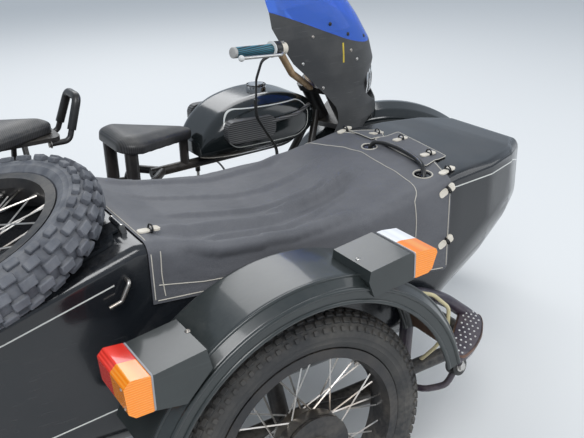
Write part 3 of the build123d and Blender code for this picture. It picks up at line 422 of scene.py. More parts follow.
def link(tree, kind, inputs=None, **settings):
    """A new node with its settings, its inputs set or linked."""
    node = tree.nodes.new(kind)
    for key, value in settings.items():
        setattr(node, key, value)
    for key, value in (inputs or {}).items():
        if isinstance(value, bpy.types.NodeSocket):
            tree.links.new(value, node.inputs[key])
        else:
            node.inputs[key].default_value = value
    return node


def noise_of(tree, place, scale, detail):
    """The value of a noise texture at a place."""
    return link(tree, "ShaderNodeTexNoise", {"Vector": place, "Scale": scale, "Detail": detail}).outputs[0]


def math(tree, operation, first, second=0.0, clamp=False):
    """The result of a Math node."""
    return link(tree, "ShaderNodeMath", {0: first, 1: second}, operation=operation, use_clamp=clamp).outputs[0]


def spread(tree, value, low, high, new_low=0.0, new_high=1.0):
    """A value taken from one range to another and held inside it."""
    inputs = {0: value, 1: low, 2: high, 3: new_low, 4: new_high}
    return link(tree, "ShaderNodeMapRange", inputs).outputs[0]


def mix(tree, factor, first, second):
    """Two colours mixed."""
    node = link(tree, "ShaderNodeMix", {0: factor}, data_type="RGBA")
    for index, value in ((6, first), (7, second)):
        if isinstance(value, bpy.types.NodeSocket):
            tree.links.new(value, node.inputs[index])
        else:
            node.inputs[index].default_value = value
    return node.outputs[2]


def rgb(*colour):
    """A colour with full alpha."""
    return (*colour, 1.0)


def new_group(name, inputs, outputs):
    """An empty shader node group with named sockets."""
    tree = bpy.data.node_groups.new(name, "ShaderNodeTree")
    for label, kind, value in inputs:
        socket = tree.interface.new_socket(label, in_out="INPUT", socket_type=kind)
        socket.default_value = value
    for label, kind in outputs:
        tree.interface.new_socket(label, in_out="OUTPUT", socket_type=kind)
    return tree, tree.nodes.new("NodeGroupInput").outputs, tree.nodes.new("NodeGroupOutput").inputs


FLOAT, COLOUR = "NodeSocketFloat", "NodeSocketColor"


def make_ageing_group():
    """Blotches, dust on what faces up or lies low, and fine grain, for any weathered surface."""
    tree, given, out = new_group(
        "Ageing",
        (
            ("Base", COLOUR, rgb(0.1, 0.1, 0.1)),
            ("Tint", COLOUR, rgb(0.15, 0.14, 0.12)),
            ("Dust", COLOUR, rgb(0.35, 0.31, 0.25)),
            ("Blotch scale", FLOAT, 9.0),
            ("Dust amount", FLOAT, 0.3),
            ("Grain scale", FLOAT, 400.0),
        ),
        (("Color", COLOUR), ("Mask", FLOAT), ("Height", FLOAT)),
    )
    place = link(tree, "ShaderNodeTexCoord").outputs["Object"]
    blotch = noise_of(tree, place, given["Blotch scale"], 6.0)
    speck = noise_of(tree, place, 90.0, 5.0)
    grain = noise_of(tree, place, given["Grain scale"], 3.0)
    up = link(tree, "ShaderNodeSeparateXYZ", {0: link(tree, "ShaderNodeNewGeometry").outputs["Normal"]}).outputs[2]
    height = link(tree, "ShaderNodeSeparateXYZ", {0: place}).outputs[2]
    facing = spread(tree, up, -0.2, 1.0)
    low = spread(tree, height, 0.5, 0.05)
    where = math(tree, "ADD", math(tree, "MULTIPLY", facing, 0.45), math(tree, "MULTIPLY", low, 0.75))
    cloudy = spread(tree, math(tree, "MULTIPLY", blotch, speck), 0.15, 0.36)
    mask = math(tree, "MULTIPLY", math(tree, "MULTIPLY", where, cloudy), given["Dust amount"], clamp=True)
    body = mix(tree, spread(tree, blotch, 0.38, 0.66), given["Base"], given["Tint"])
    tree.links.new(mix(tree, mask, body, given["Dust"]), out["Color"])
    tree.links.new(math(tree, "MAXIMUM", mask, math(tree, "MULTIPLY", speck, 0.35)), out["Mask"])
    tree.links.new(
        math(tree, "ADD", math(tree, "MULTIPLY", speck, 0.5), math(tree, "MULTIPLY", grain, 0.5)), out["Height"],
    )
    return tree


def make_scratch_group():
    """Thin scratches running several ways, as a mask."""
    tree, given, out = new_group("Scratches", (("Scale", FLOAT, 1.0), ("Amount", FLOAT, 0.5)), (("Mask", FLOAT),))
    place = link(tree, "ShaderNodeTexCoord").outputs["Object"]
    total = 0.0
    for turn, stretch in ((0.4, 40.0), (1.5, 60.0), (2.5, 50.0)):
        turns, scales = (turn, turn * 0.7, turn), (2.0, stretch, stretch)
        mapped = link(tree, "ShaderNodeMapping", {0: place, 2: turns, 3: scales}).outputs[0]
        lines = noise_of(tree, mapped, given["Scale"], 1.0)
        total = math(tree, "ADD", spread(tree, lines, 0.70, 0.78), total)
    tree.links.new(math(tree, "MULTIPLY", total, given["Amount"], clamp=True), out["Mask"])
    return tree


GROUPS = {}


def new_material(name):
    """A material with an empty Principled shader, ready for its nodes."""
    material = bpy.data.materials.new(name)
    material.use_nodes = True
    tree = material.node_tree
    return material, tree, tree.nodes["Principled BSDF"]


def aged(
    name,
    base,
    tint=None,
    dust=(0.36, 0.32, 0.26),
    amount=0.3,
    rough=(0.3, 0.7),
    metallic=0.0,
    blotch=9.0,
    grain=400.0,
    bump=0.05,
    coat=0.0,
    scratches=0.0,
    scratch_colour=(0.4, 0.4, 0.4),
    pattern_or_painted_shade=None,
):
    """A weathered material. The pattern or painted shade, if there is one, changes its clean colour first."""
    material, tree, shader = new_material(name)
    tint = tint or tuple(c * 1.5 + 0.01 for c in base)
    colour, second = rgb(*base), rgb(*tint)
    if pattern_or_painted_shade:
        colour, second = pattern_or_painted_shade(tree, colour, second)
    inputs = {"Base": colour, "Tint": second, "Dust": rgb(*dust), "Blotch scale": blotch, "Dust amount": amount}
    ageing = link(tree, "ShaderNodeGroup", node_tree=GROUPS["ageing"])
    for key, value in {**inputs, "Grain scale": grain}.items():
        if isinstance(value, bpy.types.NodeSocket):
            tree.links.new(value, ageing.inputs[key])
        else:
            ageing.inputs[key].default_value = value
    final = ageing.outputs["Color"]
    mask = ageing.outputs["Mask"]
    if scratches:
        marks = link(tree, "ShaderNodeGroup", node_tree=GROUPS["scratches"])
        marks.inputs["Amount"].default_value = scratches
        marks.inputs["Scale"].default_value = 4.0
        final = mix(tree, marks.outputs[0], final, rgb(*scratch_colour))
        mask = math(tree, "MAXIMUM", mask, marks.outputs[0])
    tree.links.new(final, shader.inputs["Base Color"])
    tree.links.new(spread(tree, mask, 0.0, 0.8, *rough), shader.inputs["Roughness"])
    shader.inputs["Metallic"].default_value = metallic
    shader.inputs["Coat Weight"].default_value = coat
    shader.inputs["Coat Roughness"].default_value = 0.08
    height = link(tree, "ShaderNodeBump", {"Height": ageing.outputs["Height"], "Strength": bump, "Distance": 0.002})
    tree.links.new(height.outputs[0], shader.inputs["Normal"])
    return material


def object_axes(tree):
    """The three Object coordinates."""
    place = link(tree, "ShaderNodeTexCoord").outputs["Object"]
    return link(tree, "ShaderNodeSeparateXYZ", {0: place}).outputs


def line_mask(tree, along, across, start, end, width):
    """1 on a thin line between two points of a plane, else 0."""
    (x0, y0), (x1, y1) = start, end
    length = hypot(x1 - x0, y1 - y0)
    ux, uy = (x1 - x0) / length, (y1 - y0) / length
    dx, dy = math(tree, "SUBTRACT", along, x0), math(tree, "SUBTRACT", across, y0)
    forward = math(tree, "ADD", math(tree, "MULTIPLY", dx, ux), math(tree, "MULTIPLY", dy, uy))
    side = math(tree, "SUBTRACT", math(tree, "MULTIPLY", dy, ux), math(tree, "MULTIPLY", dx, uy))
    near = math(tree, "LESS_THAN", math(tree, "ABSOLUTE", side), width / 2)
    inside = math(tree, "LESS_THAN", math(tree, "ABSOLUTE", math(tree, "SUBTRACT", forward, length / 2)), length / 2)
    return math(tree, "MULTIPLY", near, inside)


# Pale lines on the sidecar body's sides, forward and up from the rear axle's foot.
HULL_LINES = (
    ((-0.309, 0.723), (-0.058, 0.792)),
    ((-0.420, 0.446), (-0.072, 0.485)),
    ((0.905, 0.790), (1.215, 0.790)),
    ((1.215, 0.790), (1.318, 0.752)),
    ((1.318, 0.752), (1.322, 0.650)),
    ((1.322, 0.650), (1.240, 0.560)),
    ((1.240, 0.560), (0.960, 0.500)),
)


def hull_pattern(tree, colour, second):
    """Thin pale lines on the body's sides."""
    x, _, z = object_axes(tree)
    total = 0.0
    for start, end in HULL_LINES:
        start, end = (start[0] + REAR_AXLE_X, start[1]), (end[0] + REAR_AXLE_X, end[1])
        total = math(tree, "MAXIMUM", line_mask(tree, x, z, start, end, 0.0035), total)
    return [mix(tree, total, shade, rgb(*colours().line)) for shade in (colour, second)]


def ring_mask(tree, across, up, centre, half, corner, width):
    """1 on the outline of a rectangle with round corners."""
    gaps = [
        math(tree, "SUBTRACT", math(tree, "ABSOLUTE", math(tree, "SUBTRACT", value, middle)), reach - corner)
        for value, middle, reach in zip((across, up), centre, half)
    ]
    outside = [math(tree, "MAXIMUM", gap, 0.0) for gap in gaps]
    square = math(tree, "ADD", math(tree, "POWER", outside[0], 2.0), math(tree, "POWER", outside[1], 2.0))
    inner = math(tree, "MINIMUM", math(tree, "MAXIMUM", gaps[0], gaps[1]), 0.0)
    distance = math(tree, "SUBTRACT", math(tree, "ADD", math(tree, "SQRT", square), inner), corner)
    return math(tree, "LESS_THAN", math(tree, "ABSOLUTE", distance), width / 2)


def tank_pattern(tree, colour, second):
    """A pale outline with round corners on each side of the tank."""
    x, y, z = object_axes(tree)
    centre = (REAR_AXLE_X + 0.830, 0.792)
    line = ring_mask(tree, x, z, centre, (0.168, 0.064), 0.058, 0.0034)
    side = math(tree, "GREATER_THAN", math(tree, "ABSOLUTE", math(tree, "SUBTRACT", y, BIKE_Y)), 0.075)
    line = math(tree, "MULTIPLY", line, side)
    return [mix(tree, line, shade, rgb(*colours().line)) for shade in (colour, second)]


def lens_material(name, colour):
    """A ribbed coloured lens, with a painted highlight on each rib's crest."""
    material, tree, shader = new_material(name)
    ribs = link(tree, "ShaderNodeTexWave", {"Scale": 60.0, "Distortion": 0.0}, bands_direction="Z")
    tree.links.new(link(tree, "ShaderNodeTexCoord").outputs["Object"], ribs.inputs["Vector"])
    bump = link(tree, "ShaderNodeBump", {"Height": ribs.outputs["Fac"], "Strength": 0.35, "Distance": 0.001})
    tree.links.new(bump.outputs[0], shader.inputs["Normal"])
    # Painted highlight: the lens's colour is lightened along the crests of its ribs.
    light = rgb(*(min(c * 1.35 + 0.03, 1) for c in colour))
    shade = mix(tree, spread(tree, ribs.outputs["Fac"], 0.0, 1.0), rgb(*colour), light)
    tree.links.new(shade, shader.inputs["Base Color"])
    shader.inputs["Roughness"].default_value = 0.15
    shader.inputs["Coat Weight"].default_value = 0.6
    return material


def glass_material(name, colour, clear=1.0):
    """Tinted plastic or glass, as clear as its share."""
    material, _, shader = new_material(name)
    shader.inputs["Base Color"].default_value = rgb(*colour)
    shader.inputs["Transmission Weight"].default_value = clear
    shader.inputs["Roughness"].default_value = 0.05
    shader.inputs["IOR"].default_value = 1.15
    return material


def ribs_with_painted_shade(tree, colour, second, scale, direction):
    """Fine moulded ribs, with painted shade darkening the grooves between them."""
    place = link(tree, "ShaderNodeTexCoord").outputs["Object"]
    ribs = link(
        tree, "ShaderNodeTexWave", {"Vector": place, "Scale": scale, "Distortion": 0.3}, bands_direction=direction,
    )
    # Painted shade: the colour goes towards near black in the grooves between the ribs.
    shade = spread(tree, ribs.outputs["Fac"], 0.2, 0.8)
    return mix(tree, shade, rgb(0.006, 0.006, 0.007), colour), mix(tree, shade, rgb(0.01, 0.01, 0.01), second)


# The saddles', pads' and grips' ribs, each with painted shade between them.
saddle_rib_shade = partial(ribs_with_painted_shade, scale=52.0, direction="X")
pad_rib_shade = partial(ribs_with_painted_shade, scale=45.0, direction="Z")
grip_rib_shade = partial(ribs_with_painted_shade, scale=60.0, direction="Z")


def weave_pattern(tree, colour, second):
    """The cover's cloth, faded in broad soft patches."""
    place = link(tree, "ShaderNodeTexCoord").outputs["Object"]
    patch = noise_of(tree, place, 4.0, 4.0)
    threads = noise_of(tree, place, 600.0, 2.0)
    faded = mix(tree, spread(tree, patch, 0.35, 0.7), colour, rgb(*(c * 1.35 for c in colours().cover)))
    dark = mix(tree, spread(tree, threads, 0.35, 0.65), rgb(*(c * 0.8 for c in colours().cover)), faded)
    return dark, mix(tree, 0.5, dark, second)


M = {}


def make_materials():
    """Every material, by its short name."""
    c = colours()
    GROUPS["ageing"] = make_ageing_group()
    GROUPS["scratches"] = make_scratch_group()
    M["frame"] = aged(
        "Frame black", (0.014, 0.014, 0.016), (0.03, 0.026, 0.024), amount=0.35, rough=(0.25, 0.75), bump=0.2,
    )
    M["hull"] = aged(
        "Body black", tuple(c.body), (0.013, 0.014, 0.017), amount=0.08, rough=(0.12, 0.45), coat=0.25,
        scratches=0.15, scratch_colour=(0.07, 0.07, 0.07), pattern_or_painted_shade=hull_pattern, bump=0.02,
    )
    M["fender"] = aged(
        "Fender grey green", tuple(c.fender), tuple(v * 1.3 for v in c.fender), amount=0.06, rough=(0.30, 0.5),
        coat=0.45,
        scratches=0.12, scratch_colour=(0.08, 0.09, 0.09), bump=0.0,
    )
    M["tank"] = aged(
        "Tank black", tuple(c.tank), (0.009, 0.012, 0.013), amount=0.04, rough=(0.10, 0.35), coat=0.25,
        pattern_or_painted_shade=tank_pattern, bump=0.01,
    )
    M["maroon"] = aged("Fender maroon", tuple(c.rear), (0.09, 0.04, 0.03), amount=0.25, rough=(0.18, 0.7), coat=0.3)
    M["casting"] = aged(
        "Cast aluminium", (0.46, 0.45, 0.42), (0.26, 0.22, 0.17), amount=0.45, rough=(0.34, 0.75), metallic=0.85,
        bump=0.35, blotch=14.0,
    )
    M["iron"] = aged(
        "Cylinder iron", (0.22, 0.18, 0.14), (0.14, 0.09, 0.06), amount=0.5, rough=(0.5, 0.9), metallic=0.6,
        bump=0.5,
    )
    M["exhaust"] = aged(
        "Exhaust steel", (0.46, 0.42, 0.38), (0.24, 0.16, 0.11), amount=0.3, rough=(0.2, 0.7), metallic=0.9,
        bump=0.1,
    )
    M["chrome"] = aged(
        "Chrome", (0.75, 0.75, 0.76), (0.6, 0.6, 0.6), amount=0.1, rough=(0.06, 0.4), metallic=1.0, bump=0.02,
    )
    M["steel"] = aged(
        "Dull steel", (0.58, 0.57, 0.55), (0.40, 0.35, 0.30), amount=0.25, rough=(0.25, 0.6), metallic=1.0,
        bump=0.1,
    )
    M["bar"] = aged(
        "Bar tan", (0.50, 0.34, 0.19), (0.36, 0.22, 0.11), amount=0.2, rough=(0.35, 0.8), metallic=0.1, bump=0.3,
        blotch=40.0,
    )
    M["tyre"] = aged(
        "Tyre rubber", (0.030, 0.030, 0.031), (0.055, 0.052, 0.048), (0.26, 0.235, 0.20), 0.7, (0.6, 0.95),
        bump=0.25,
    )
    M["knobs"] = aged(
        "Dusty knobs", (0.085, 0.090, 0.105), (0.145, 0.152, 0.172), (0.25, 0.235, 0.21), 0.6, (0.6, 0.95),
        bump=0.25, blotch=22.0,
    )
    M["grip"] = aged(
        "Grip blue green", tuple(c.grip), (0.03, 0.20, 0.27), amount=0.15, rough=(0.4, 0.8), bump=0.2,
        pattern_or_painted_shade=grip_rib_shade,
    )
    M["grip_end"] = aged("Grip end", (0.42, 0.41, 0.39), (0.30, 0.29, 0.27), amount=0.2, rough=(0.4, 0.8))
    M["saddle"] = aged(
        "Saddle rubber", (0.030, 0.030, 0.033), (0.045, 0.044, 0.047), amount=0.25, rough=(0.35, 0.7), bump=0.15,
        pattern_or_painted_shade=saddle_rib_shade,
    )
    M["pad"] = aged(
        "Pad rubber", (0.10, 0.10, 0.105), (0.14, 0.14, 0.14), amount=0.25, rough=(0.45, 0.8), bump=0.15,
        pattern_or_painted_shade=pad_rib_shade,
    )
    M["vinyl"] = aged(
        "Cover cloth", tuple(c.cover), tuple(v * 1.2 for v in c.cover), (0.26, 0.245, 0.22), 0.18, (0.55, 0.8),
        bump=0.22,
        grain=900.0, pattern_or_painted_shade=weave_pattern,
    )
    M["thread"] = aged(
        "Pale thread", tuple(c.thread), tuple(v * 0.8 for v in c.thread), amount=0.2, rough=(0.6, 0.9),
        grain=1500.0, bump=0.3,
    )
    M["leather"] = aged(
        "Pale leather", (0.80, 0.74, 0.64), (0.62, 0.56, 0.46), amount=0.2, rough=(0.5, 0.8), bump=0.2,
    )
    M["black"] = aged(
        "Plain black", (0.010, 0.010, 0.010), (0.018, 0.018, 0.018), amount=0.15, rough=(0.25, 0.6), bump=0.08,
    )
    M["white"] = aged(
        "White plastic", (0.72, 0.72, 0.71), (0.60, 0.60, 0.57), amount=0.15, rough=(0.25, 0.6), bump=0.05,
    )
    M["hose"] = aged(
        "Cream hose", tuple(c.hose), tuple(v * 0.8 for v in c.hose), amount=0.25, rough=(0.4, 0.7), bump=0.08,
    )
    M["yellow"] = aged("Mark yellow", (0.80, 0.62, 0.06), (0.62, 0.46, 0.05), amount=0.1, rough=(0.4, 0.7))
    M["rust"] = aged(
        "Rusty inside", (0.09, 0.045, 0.025), (0.14, 0.08, 0.05), (0.20, 0.14, 0.09), 0.8, (0.7, 0.95), bump=0.5,
        blotch=25.0,
    )
    M["copper"] = aged(
        "Worn copper", (0.30, 0.17, 0.12), (0.10, 0.06, 0.05), amount=0.2, rough=(0.3, 0.6), metallic=0.7, bump=0.2,
    )
    M["fairing"] = aged(
        "Fairing grey black", (0.040, 0.041, 0.043), (0.062, 0.062, 0.062), amount=0.25, rough=(0.42, 0.7), bump=0.08,
        scratches=0.5, scratch_colour=(0.13, 0.13, 0.13),
    )
    M["step"] = aged(
        "Step purple black", (0.022, 0.016, 0.030), (0.05, 0.035, 0.05), amount=0.2, rough=(0.22, 0.7), bump=0.15,
        coat=0.3,
    )
    M["gasket"] = aged("Gasket grey", (0.35, 0.36, 0.38), (0.28, 0.28, 0.29), amount=0.15, rough=(0.5, 0.8))
    M["red"] = lens_material("Lens red", (0.75, 0.03, 0.015))
    M["amber"] = lens_material("Lens amber", (0.98, 0.235, 0.004))
    M["clear"] = lens_material("Lens clear", (0.86, 0.86, 0.88))
    M["glass"] = glass_material("Lamp glass", (0.9, 0.93, 0.95))
    M["screen"] = glass_material("Screen blue", (0.13, 0.28, 0.85), clear=0.6)


# The finish of each CAD node that stays in view.
NODE_FINISH = {
    "frame": "bike_frame driver_saddle_springs passenger_saddle_bracket grab_handle shock_absorbers foot_pegs "
    "sidecar_frame sidecar_links sidecar_axle sidecar_shock_absorber fork front_rim rear_rim sidecar_rim spare_rim "
    "headlamp",
    "hull": "sidecar_body trunk_lid",
    "fender": "sidecar_fender lamp_boxes",
    "tank": "fuel_tank front_fender",
    "maroon": "rear_fender",
    "casting": "engine_block carburettors rear_drive",
    "iron": "cylinders",
    "exhaust": "exhausts",
    "chrome": "tank_cap",
    "steel": "kick_lever lid_hinges body_handle front_hub rear_hub sidecar_hub spare_hub spare_nut levers",
    "bar": "handlebar",
    "grip": "grips",
    "pad": "knee_pads",
    "black": "carburettor_cables throttle_cables",
    "hose": "lamp_hose",
    "fairing": "fairing",
    "step": "step_bar",
    "red": "red_lens tail_lamp",
    "amber": "amber_lenses",
    "clear": "clear_lens",
    "glass": "headlamp_lens",
    "screen": "windscreen",
}


def paint_nodes():
    """Gives every CAD node its finish."""
    for finish_name, names in NODE_FINISH.items():
        for name in names.split():
            for slot in frame["nodes"][name].material_slots:
                slot.material = M[finish_name]


# ---- The cover

COVER_START, COVER_END = 0.0225, 0.9555
COVER_ROWS, COVER_COLUMNS = 118, 150
COVER_SIDE_END = 0.906
# Where across its width the front edge steps back to the side's, and over how much of it.
SIDE_STEP, SIDE_BLEND = 0.26, 0.10
# Rays for a row of the cover start round a line inside the hull, this far out; the hem lies between two angles.
CORE_Z, ROW_REACH, ROW_RAYS, HEM_TRIES = 0.60, 0.7, 160, 14
ROW_INSIDE, ROW_OUTSIDE = radians(20), radians(125)
# The cover's wrinkles: height, waves per metre forward and round the body, and a number that sets them apart.
WRINKLES = ((0.0022, 5, 16, 3.1), (0.0030, 9, 5, 7.7), (0.0009, 40, 45, 1.3))
FOLD_FADE, FOLD_DIP, DIP_PLACE, DEEPEST = 0.12, 0.45, 1.5, 0.0022
SOFT_TOP_Z, HEM_RISE, HEM_ROWS, COVER_SINK = 0.78, 0.0008, 3, 0.0006
# Each fold runs through places given forward and left, with its height in the common fold's and its half width.
COVER_FOLDS = (
    (
        (
            (0.06, -0.55), (0.19, -0.608), (0.369, -0.634), (0.492, -0.645), (0.63, -0.605), (0.737, -0.578),
            (0.82, -0.54),
        ),
        0.35, 0.014,
    ),
    (((0.10, -0.74), (0.271, -0.762), (0.449, -0.765), (0.606, -0.727), (0.74, -0.66)), 0.40, 0.012),
    (
        (
            (0.04, -0.869), (0.164, -0.86), (0.348, -0.853), (0.454, -0.84), (0.583, -0.803), (0.70, -0.745),
            (0.80, -0.68),
        ),
        1.0, 0.022,
    ),
    (
        ((0.12, -0.915), (0.254, -0.915), (0.438, -0.904), (0.538, -0.877), (0.625, -0.834), (0.74, -0.77)),
        0.55, 0.013,
    ),
    (((0.34, -0.815), (0.521, -0.819), (0.635, -0.779), (0.719, -0.747), (0.80, -0.72)), 0.8, 0.012),
    (
        (
            (0.04, -0.925), (0.117, -0.955), (0.20, -0.965), (0.30, -0.962), (0.42, -0.955), (0.55, -0.945),
            (0.70, -0.93),
        ),
        0.9, 0.020,
    ),
    (((0.05, -0.45), (0.25, -0.47), (0.45, -0.49), (0.62, -0.47), (0.76, -0.43)), 0.5, 0.018),
)
# The bar's two holes in the cover, by middle and half size. Their height, and the steps and margin of their rings.
HOLES = (((0.893, -0.621), (0.017, 0.024)), ((0.866, -0.895), (0.019, 0.027)))
HOLE_Z, HOLE_DEPTH = 0.822, 0.06
RING_STEPS, RING_MARGIN, RING_THREAD = 28, 0.004, 0.0021
SEAM = (
    (0.785, -0.974, 0.590), (0.780, -0.972, 0.725), (0.774, -0.970, 0.785), (0.803, -0.935, 0.811),
    (0.816, -0.897, 0.812), (0.829, -0.823, 0.813), (0.842, -0.714, 0.816), (0.854, -0.631, 0.817),
    (0.842, -0.559, 0.815), (0.814, -0.490, 0.811), (0.774, -0.420, 0.785), (0.780, -0.418, 0.725),
    (0.785, -0.416, 0.590),
)
SIDE_LINES = (
    (
        (0.040, -0.974, 0.765), (0.150, -0.974, 0.741), (0.330, -0.974, 0.720), (0.590, -0.974, 0.692),
        (0.700, -0.974, 0.640), (0.780, -0.972, 0.596),
    ),
    (
        (0.034, -0.974, 0.728), (0.160, -0.974, 0.716), (0.330, -0.974, 0.698), (0.590, -0.974, 0.672),
        (0.700, -0.974, 0.622), (0.790, -0.972, 0.572), (0.888, -0.969, 0.556),
    ),
    ((0.051, -0.974, 0.845), (0.049, -0.974, 0.790), (0.053, -0.974, 0.735)),
)
FLAPS = (
    ((0.930, -0.600), (1.040, -0.580), (1.000, -0.842), (0.900, -0.868)),
    ((0.925, -0.470), (1.008, -0.528), (0.972, -0.594), (0.925, -0.590)),
)
FLAP_GRID, FLAP_LIFT, FLAP_WAVE, FLAP_THICKNESS = (10, 16), 0.0028, 0.0025, 0.0018
TOP_TABS = ((0.908, -0.457), (0.965, -0.548), (0.983, -0.643), (0.949, -0.808), (0.045, -0.900))
SIDE_TABS = ((0.876, 0.785), (0.880, 0.631))
TAB_SCALE = 1.35
BAR_RADIUS = 0.0068
BAR_LINE = (
    (0.893, -0.621, 0.812), (0.897, -0.625, 0.834), (0.912, -0.650, 0.841), (0.920, -0.710, 0.842),
    (0.912, -0.780, 0.841), (0.895, -0.845, 0.840), (0.876, -0.888, 0.834), (0.866, -0.900, 0.808),
)


def level_at(points, x):
    """The second value of a line of points, read at a first value."""
    if x <= points[0][0]:
        return points[0][1]
    for (x0, y0), (x1, y1) in zip(points, points[1:]):
        if x <= x1:
            return y0 + (y1 - y0) * (x - x0) / (x1 - x0)
    return points[-1][1]


def cover_row(forward):
    """Evenly spaced places across the cover's solid, from its right hem over the top to its left hem."""
    middle = at(forward, HULL_Y, CORE_Z)

    def reach(angle):
        out = Vector((0, sin(angle), cos(angle)))
        place, _, _, distance = surface("tonneau_cover").ray_cast(middle + out * ROW_REACH, -out)
        return place if place is not None and distance < ROW_REACH else None

    ends = []
    for side in (-1, 1):
        inside, outside = side * ROW_INSIDE, side * ROW_OUTSIDE
        for _ in range(HEM_TRIES):
            between = (inside + outside) / 2
            inside, outside = (between, outside) if reach(between) else (inside, between)
        ends.append(inside)
    places = [reach(ends[0] + (ends[1] - ends[0]) * i / ROW_RAYS) for i in range(ROW_RAYS + 1)]
    places = [place for place in places if place is not None]
    lengths = [0.0]
    for first, second in zip(places, places[1:]):
        lengths.append(lengths[-1] + (second - first).length)
    row, index = [], 0
    for column in range(COVER_COLUMNS):
        wanted = lengths[-1] * column / (COVER_COLUMNS - 1)
        while index < len(places) - 2 and lengths[index + 1] < wanted:
            index += 1
        share = (wanted - lengths[index]) / max(lengths[index + 1] - lengths[index], 1e-9)
        row.append(places[index].lerp(places[index + 1], min(max(share, 0.0), 1.0)))
    return row


def cover_grid():
    """The cover's places, row by row, with its front edge shorter on the sides than over the top."""
    rows = [cover_row(COVER_START + (COVER_END - COVER_START) * i / (COVER_ROWS - 1)) for i in range(COVER_ROWS)]
    for _ in range(2):
        smooth = [row[:] for row in rows]
        for i in range(1, COVER_ROWS - 1):
            for j in range(1, COVER_COLUMNS - 1):
                around = rows[i - 1][j] + rows[i + 1][j] + rows[i][j - 1] + rows[i][j + 1]
                smooth[i][j] = rows[i][j] * 0.5 + around * 0.125
        rows = smooth
    grid = [[None] * COVER_COLUMNS for _ in rows]
    for j in range(COVER_COLUMNS):
        off_side = min(j, COVER_COLUMNS - 1 - j) / (COVER_COLUMNS - 1)
        blend = min(max((off_side - SIDE_STEP) / SIDE_BLEND, 0.0), 1.0)
        end = COVER_SIDE_END + (COVER_END - COVER_SIDE_END) * blend
        share = (end - COVER_START) / (COVER_END - COVER_START)
        for i in range(COVER_ROWS):
            wanted = i * share
            low = min(int(wanted), COVER_ROWS - 2)
            grid[i][j] = rows[low][j].lerp(rows[low + 1][j], wanted - low)
    return grid


def folded(grid):
    """The same places with the cover's folds, wrinkles and doubled hem."""
    shaped = [row[:] for row in grid]
    fold = sizes().fold
    for i, row in enumerate(grid):
        x = row[COVER_COLUMNS // 2].x - REAR_AXLE_X
        along = [0.0]
        for first, second in zip(row, row[1:]):
            along.append(along[-1] + (second - first).length)
        ridges = []
        for line, height, width in COVER_FOLDS:
            if line[0][0] < x < line[-1][0]:
                left = level_at(line, x) + BIKE_Y
                top = [j for j in range(COVER_COLUMNS) if row[j].z > 0.70] or [0]
                j = min(top, key=lambda k: abs(row[k].y - left))
                fade = min(min(x - line[0][0], line[-1][0] - x) / FOLD_FADE, 1.0)
                ridges.append((along[j], height * fold * fade * fade * (3 - 2 * fade), width))
        for j, place in enumerate(row):
            before, after = grid[max(i - 1, 0)][j], grid[min(i + 1, COVER_ROWS - 1)][j]
            left, right = row[max(j - 1, 0)], row[min(j + 1, COVER_COLUMNS - 1)]
            normal = (after - before).cross(right - left).normalized()
            if normal.dot(place - Vector((place.x, HULL_Y + BIKE_Y, CORE_Z))) < 0:
                normal = -normal
            edge = min(i, COVER_ROWS - 1 - i, j, COVER_COLUMNS - 1 - j)
            inner = min(edge / 5, 1.0)
            rise = 0.0
            for middle, height, width in ridges:
                gap = (along[j] - middle) / width
                rise += height * (exp(-gap * gap) - FOLD_DIP * exp(-((gap + DIP_PLACE) ** 2)))
            for index, (height, forward, around, apart) in enumerate(WRINKLES):
                share = 0.5 if index == 1 and place.z >= SOFT_TOP_Z else 1.0
                rise += share * height * noise.noise(Vector((place.x * forward, along[j] * around, apart)))
            hem = HEM_RISE if edge <= HEM_ROWS else 0.0
            shaped[i][j] = place + normal * (max(rise, -DEEPEST) * inner + hem - COVER_SINK)
    return shaped


def make_cover():
    """The cloth cover over the cockpit, with its seams, holes, bar, flaps and leather tabs."""
    grid = folded(cover_grid())
    points = [place for row in grid for place in row]
    cover = sheet_piece("tonneau_cloth", points, grid_faces(COVER_ROWS, COVER_COLUMNS))
    use(cover, "SOLIDIFY", thickness=sizes().cloth, offset=-1.0)
    for (x, y), half in HOLES:
        matrix = Matrix.Translation(at(x, y, HOLE_Z)) @ Matrix.Diagonal((*half, 1, 1))
        cut(cover, add("cylinder", vertices=36, radius=1, depth=HOLE_DEPTH, matrix=matrix))
    cover = finish(cover, "tonneau_cloth", "vinyl", "root", 50)
    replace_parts(cover, "tonneau_cover")

    left_lines = [tuple(mirrored(place) for place in line) for line in SIDE_LINES]
    lines = [stitched("tonneau_cloth", line) for line in (SEAM, *SIDE_LINES, *left_lines)]
    for row, inside in ((grid[0], grid[1]), (grid[-1], grid[-2])):
        near = [nearest("tonneau_cloth", a.lerp(b, 0.8)) for a, b in zip(row, inside)][2:-2:4]
        lines.append(tube([place + normal * 0.0004 for place, normal in near], sizes().thread))
    for (x, y), half in HOLES:
        rim = []
        for step in range(RING_STEPS):
            angle = 2 * pi * step / RING_STEPS
            aside = [(reach + RING_MARGIN) * turn for reach, turn in zip(half, (cos(angle), sin(angle)))]
            place, _ = nearest("tonneau_cloth", at(x + aside[0], y + aside[1], HOLE_Z))
            rim.append(place + Vector((0, 0, THREAD_LIFT)))
        lines.append(tube(rim, RING_THREAD, closed=True))
    flaps, edges = zip(*(make_flap(corners) for corners in FLAPS))
    flaps = finish(join(flaps), "tonneau_flaps", "vinyl", "root", 50)
    stitching = finish(join([*lines, *edges]), "tonneau_stitching", "thread", "root")
    pads, loops = make_tabs()
    finish(tube([at(*p) for p in BAR_LINE], BAR_RADIUS, sides=5), "cockpit_bar", "black", "root")


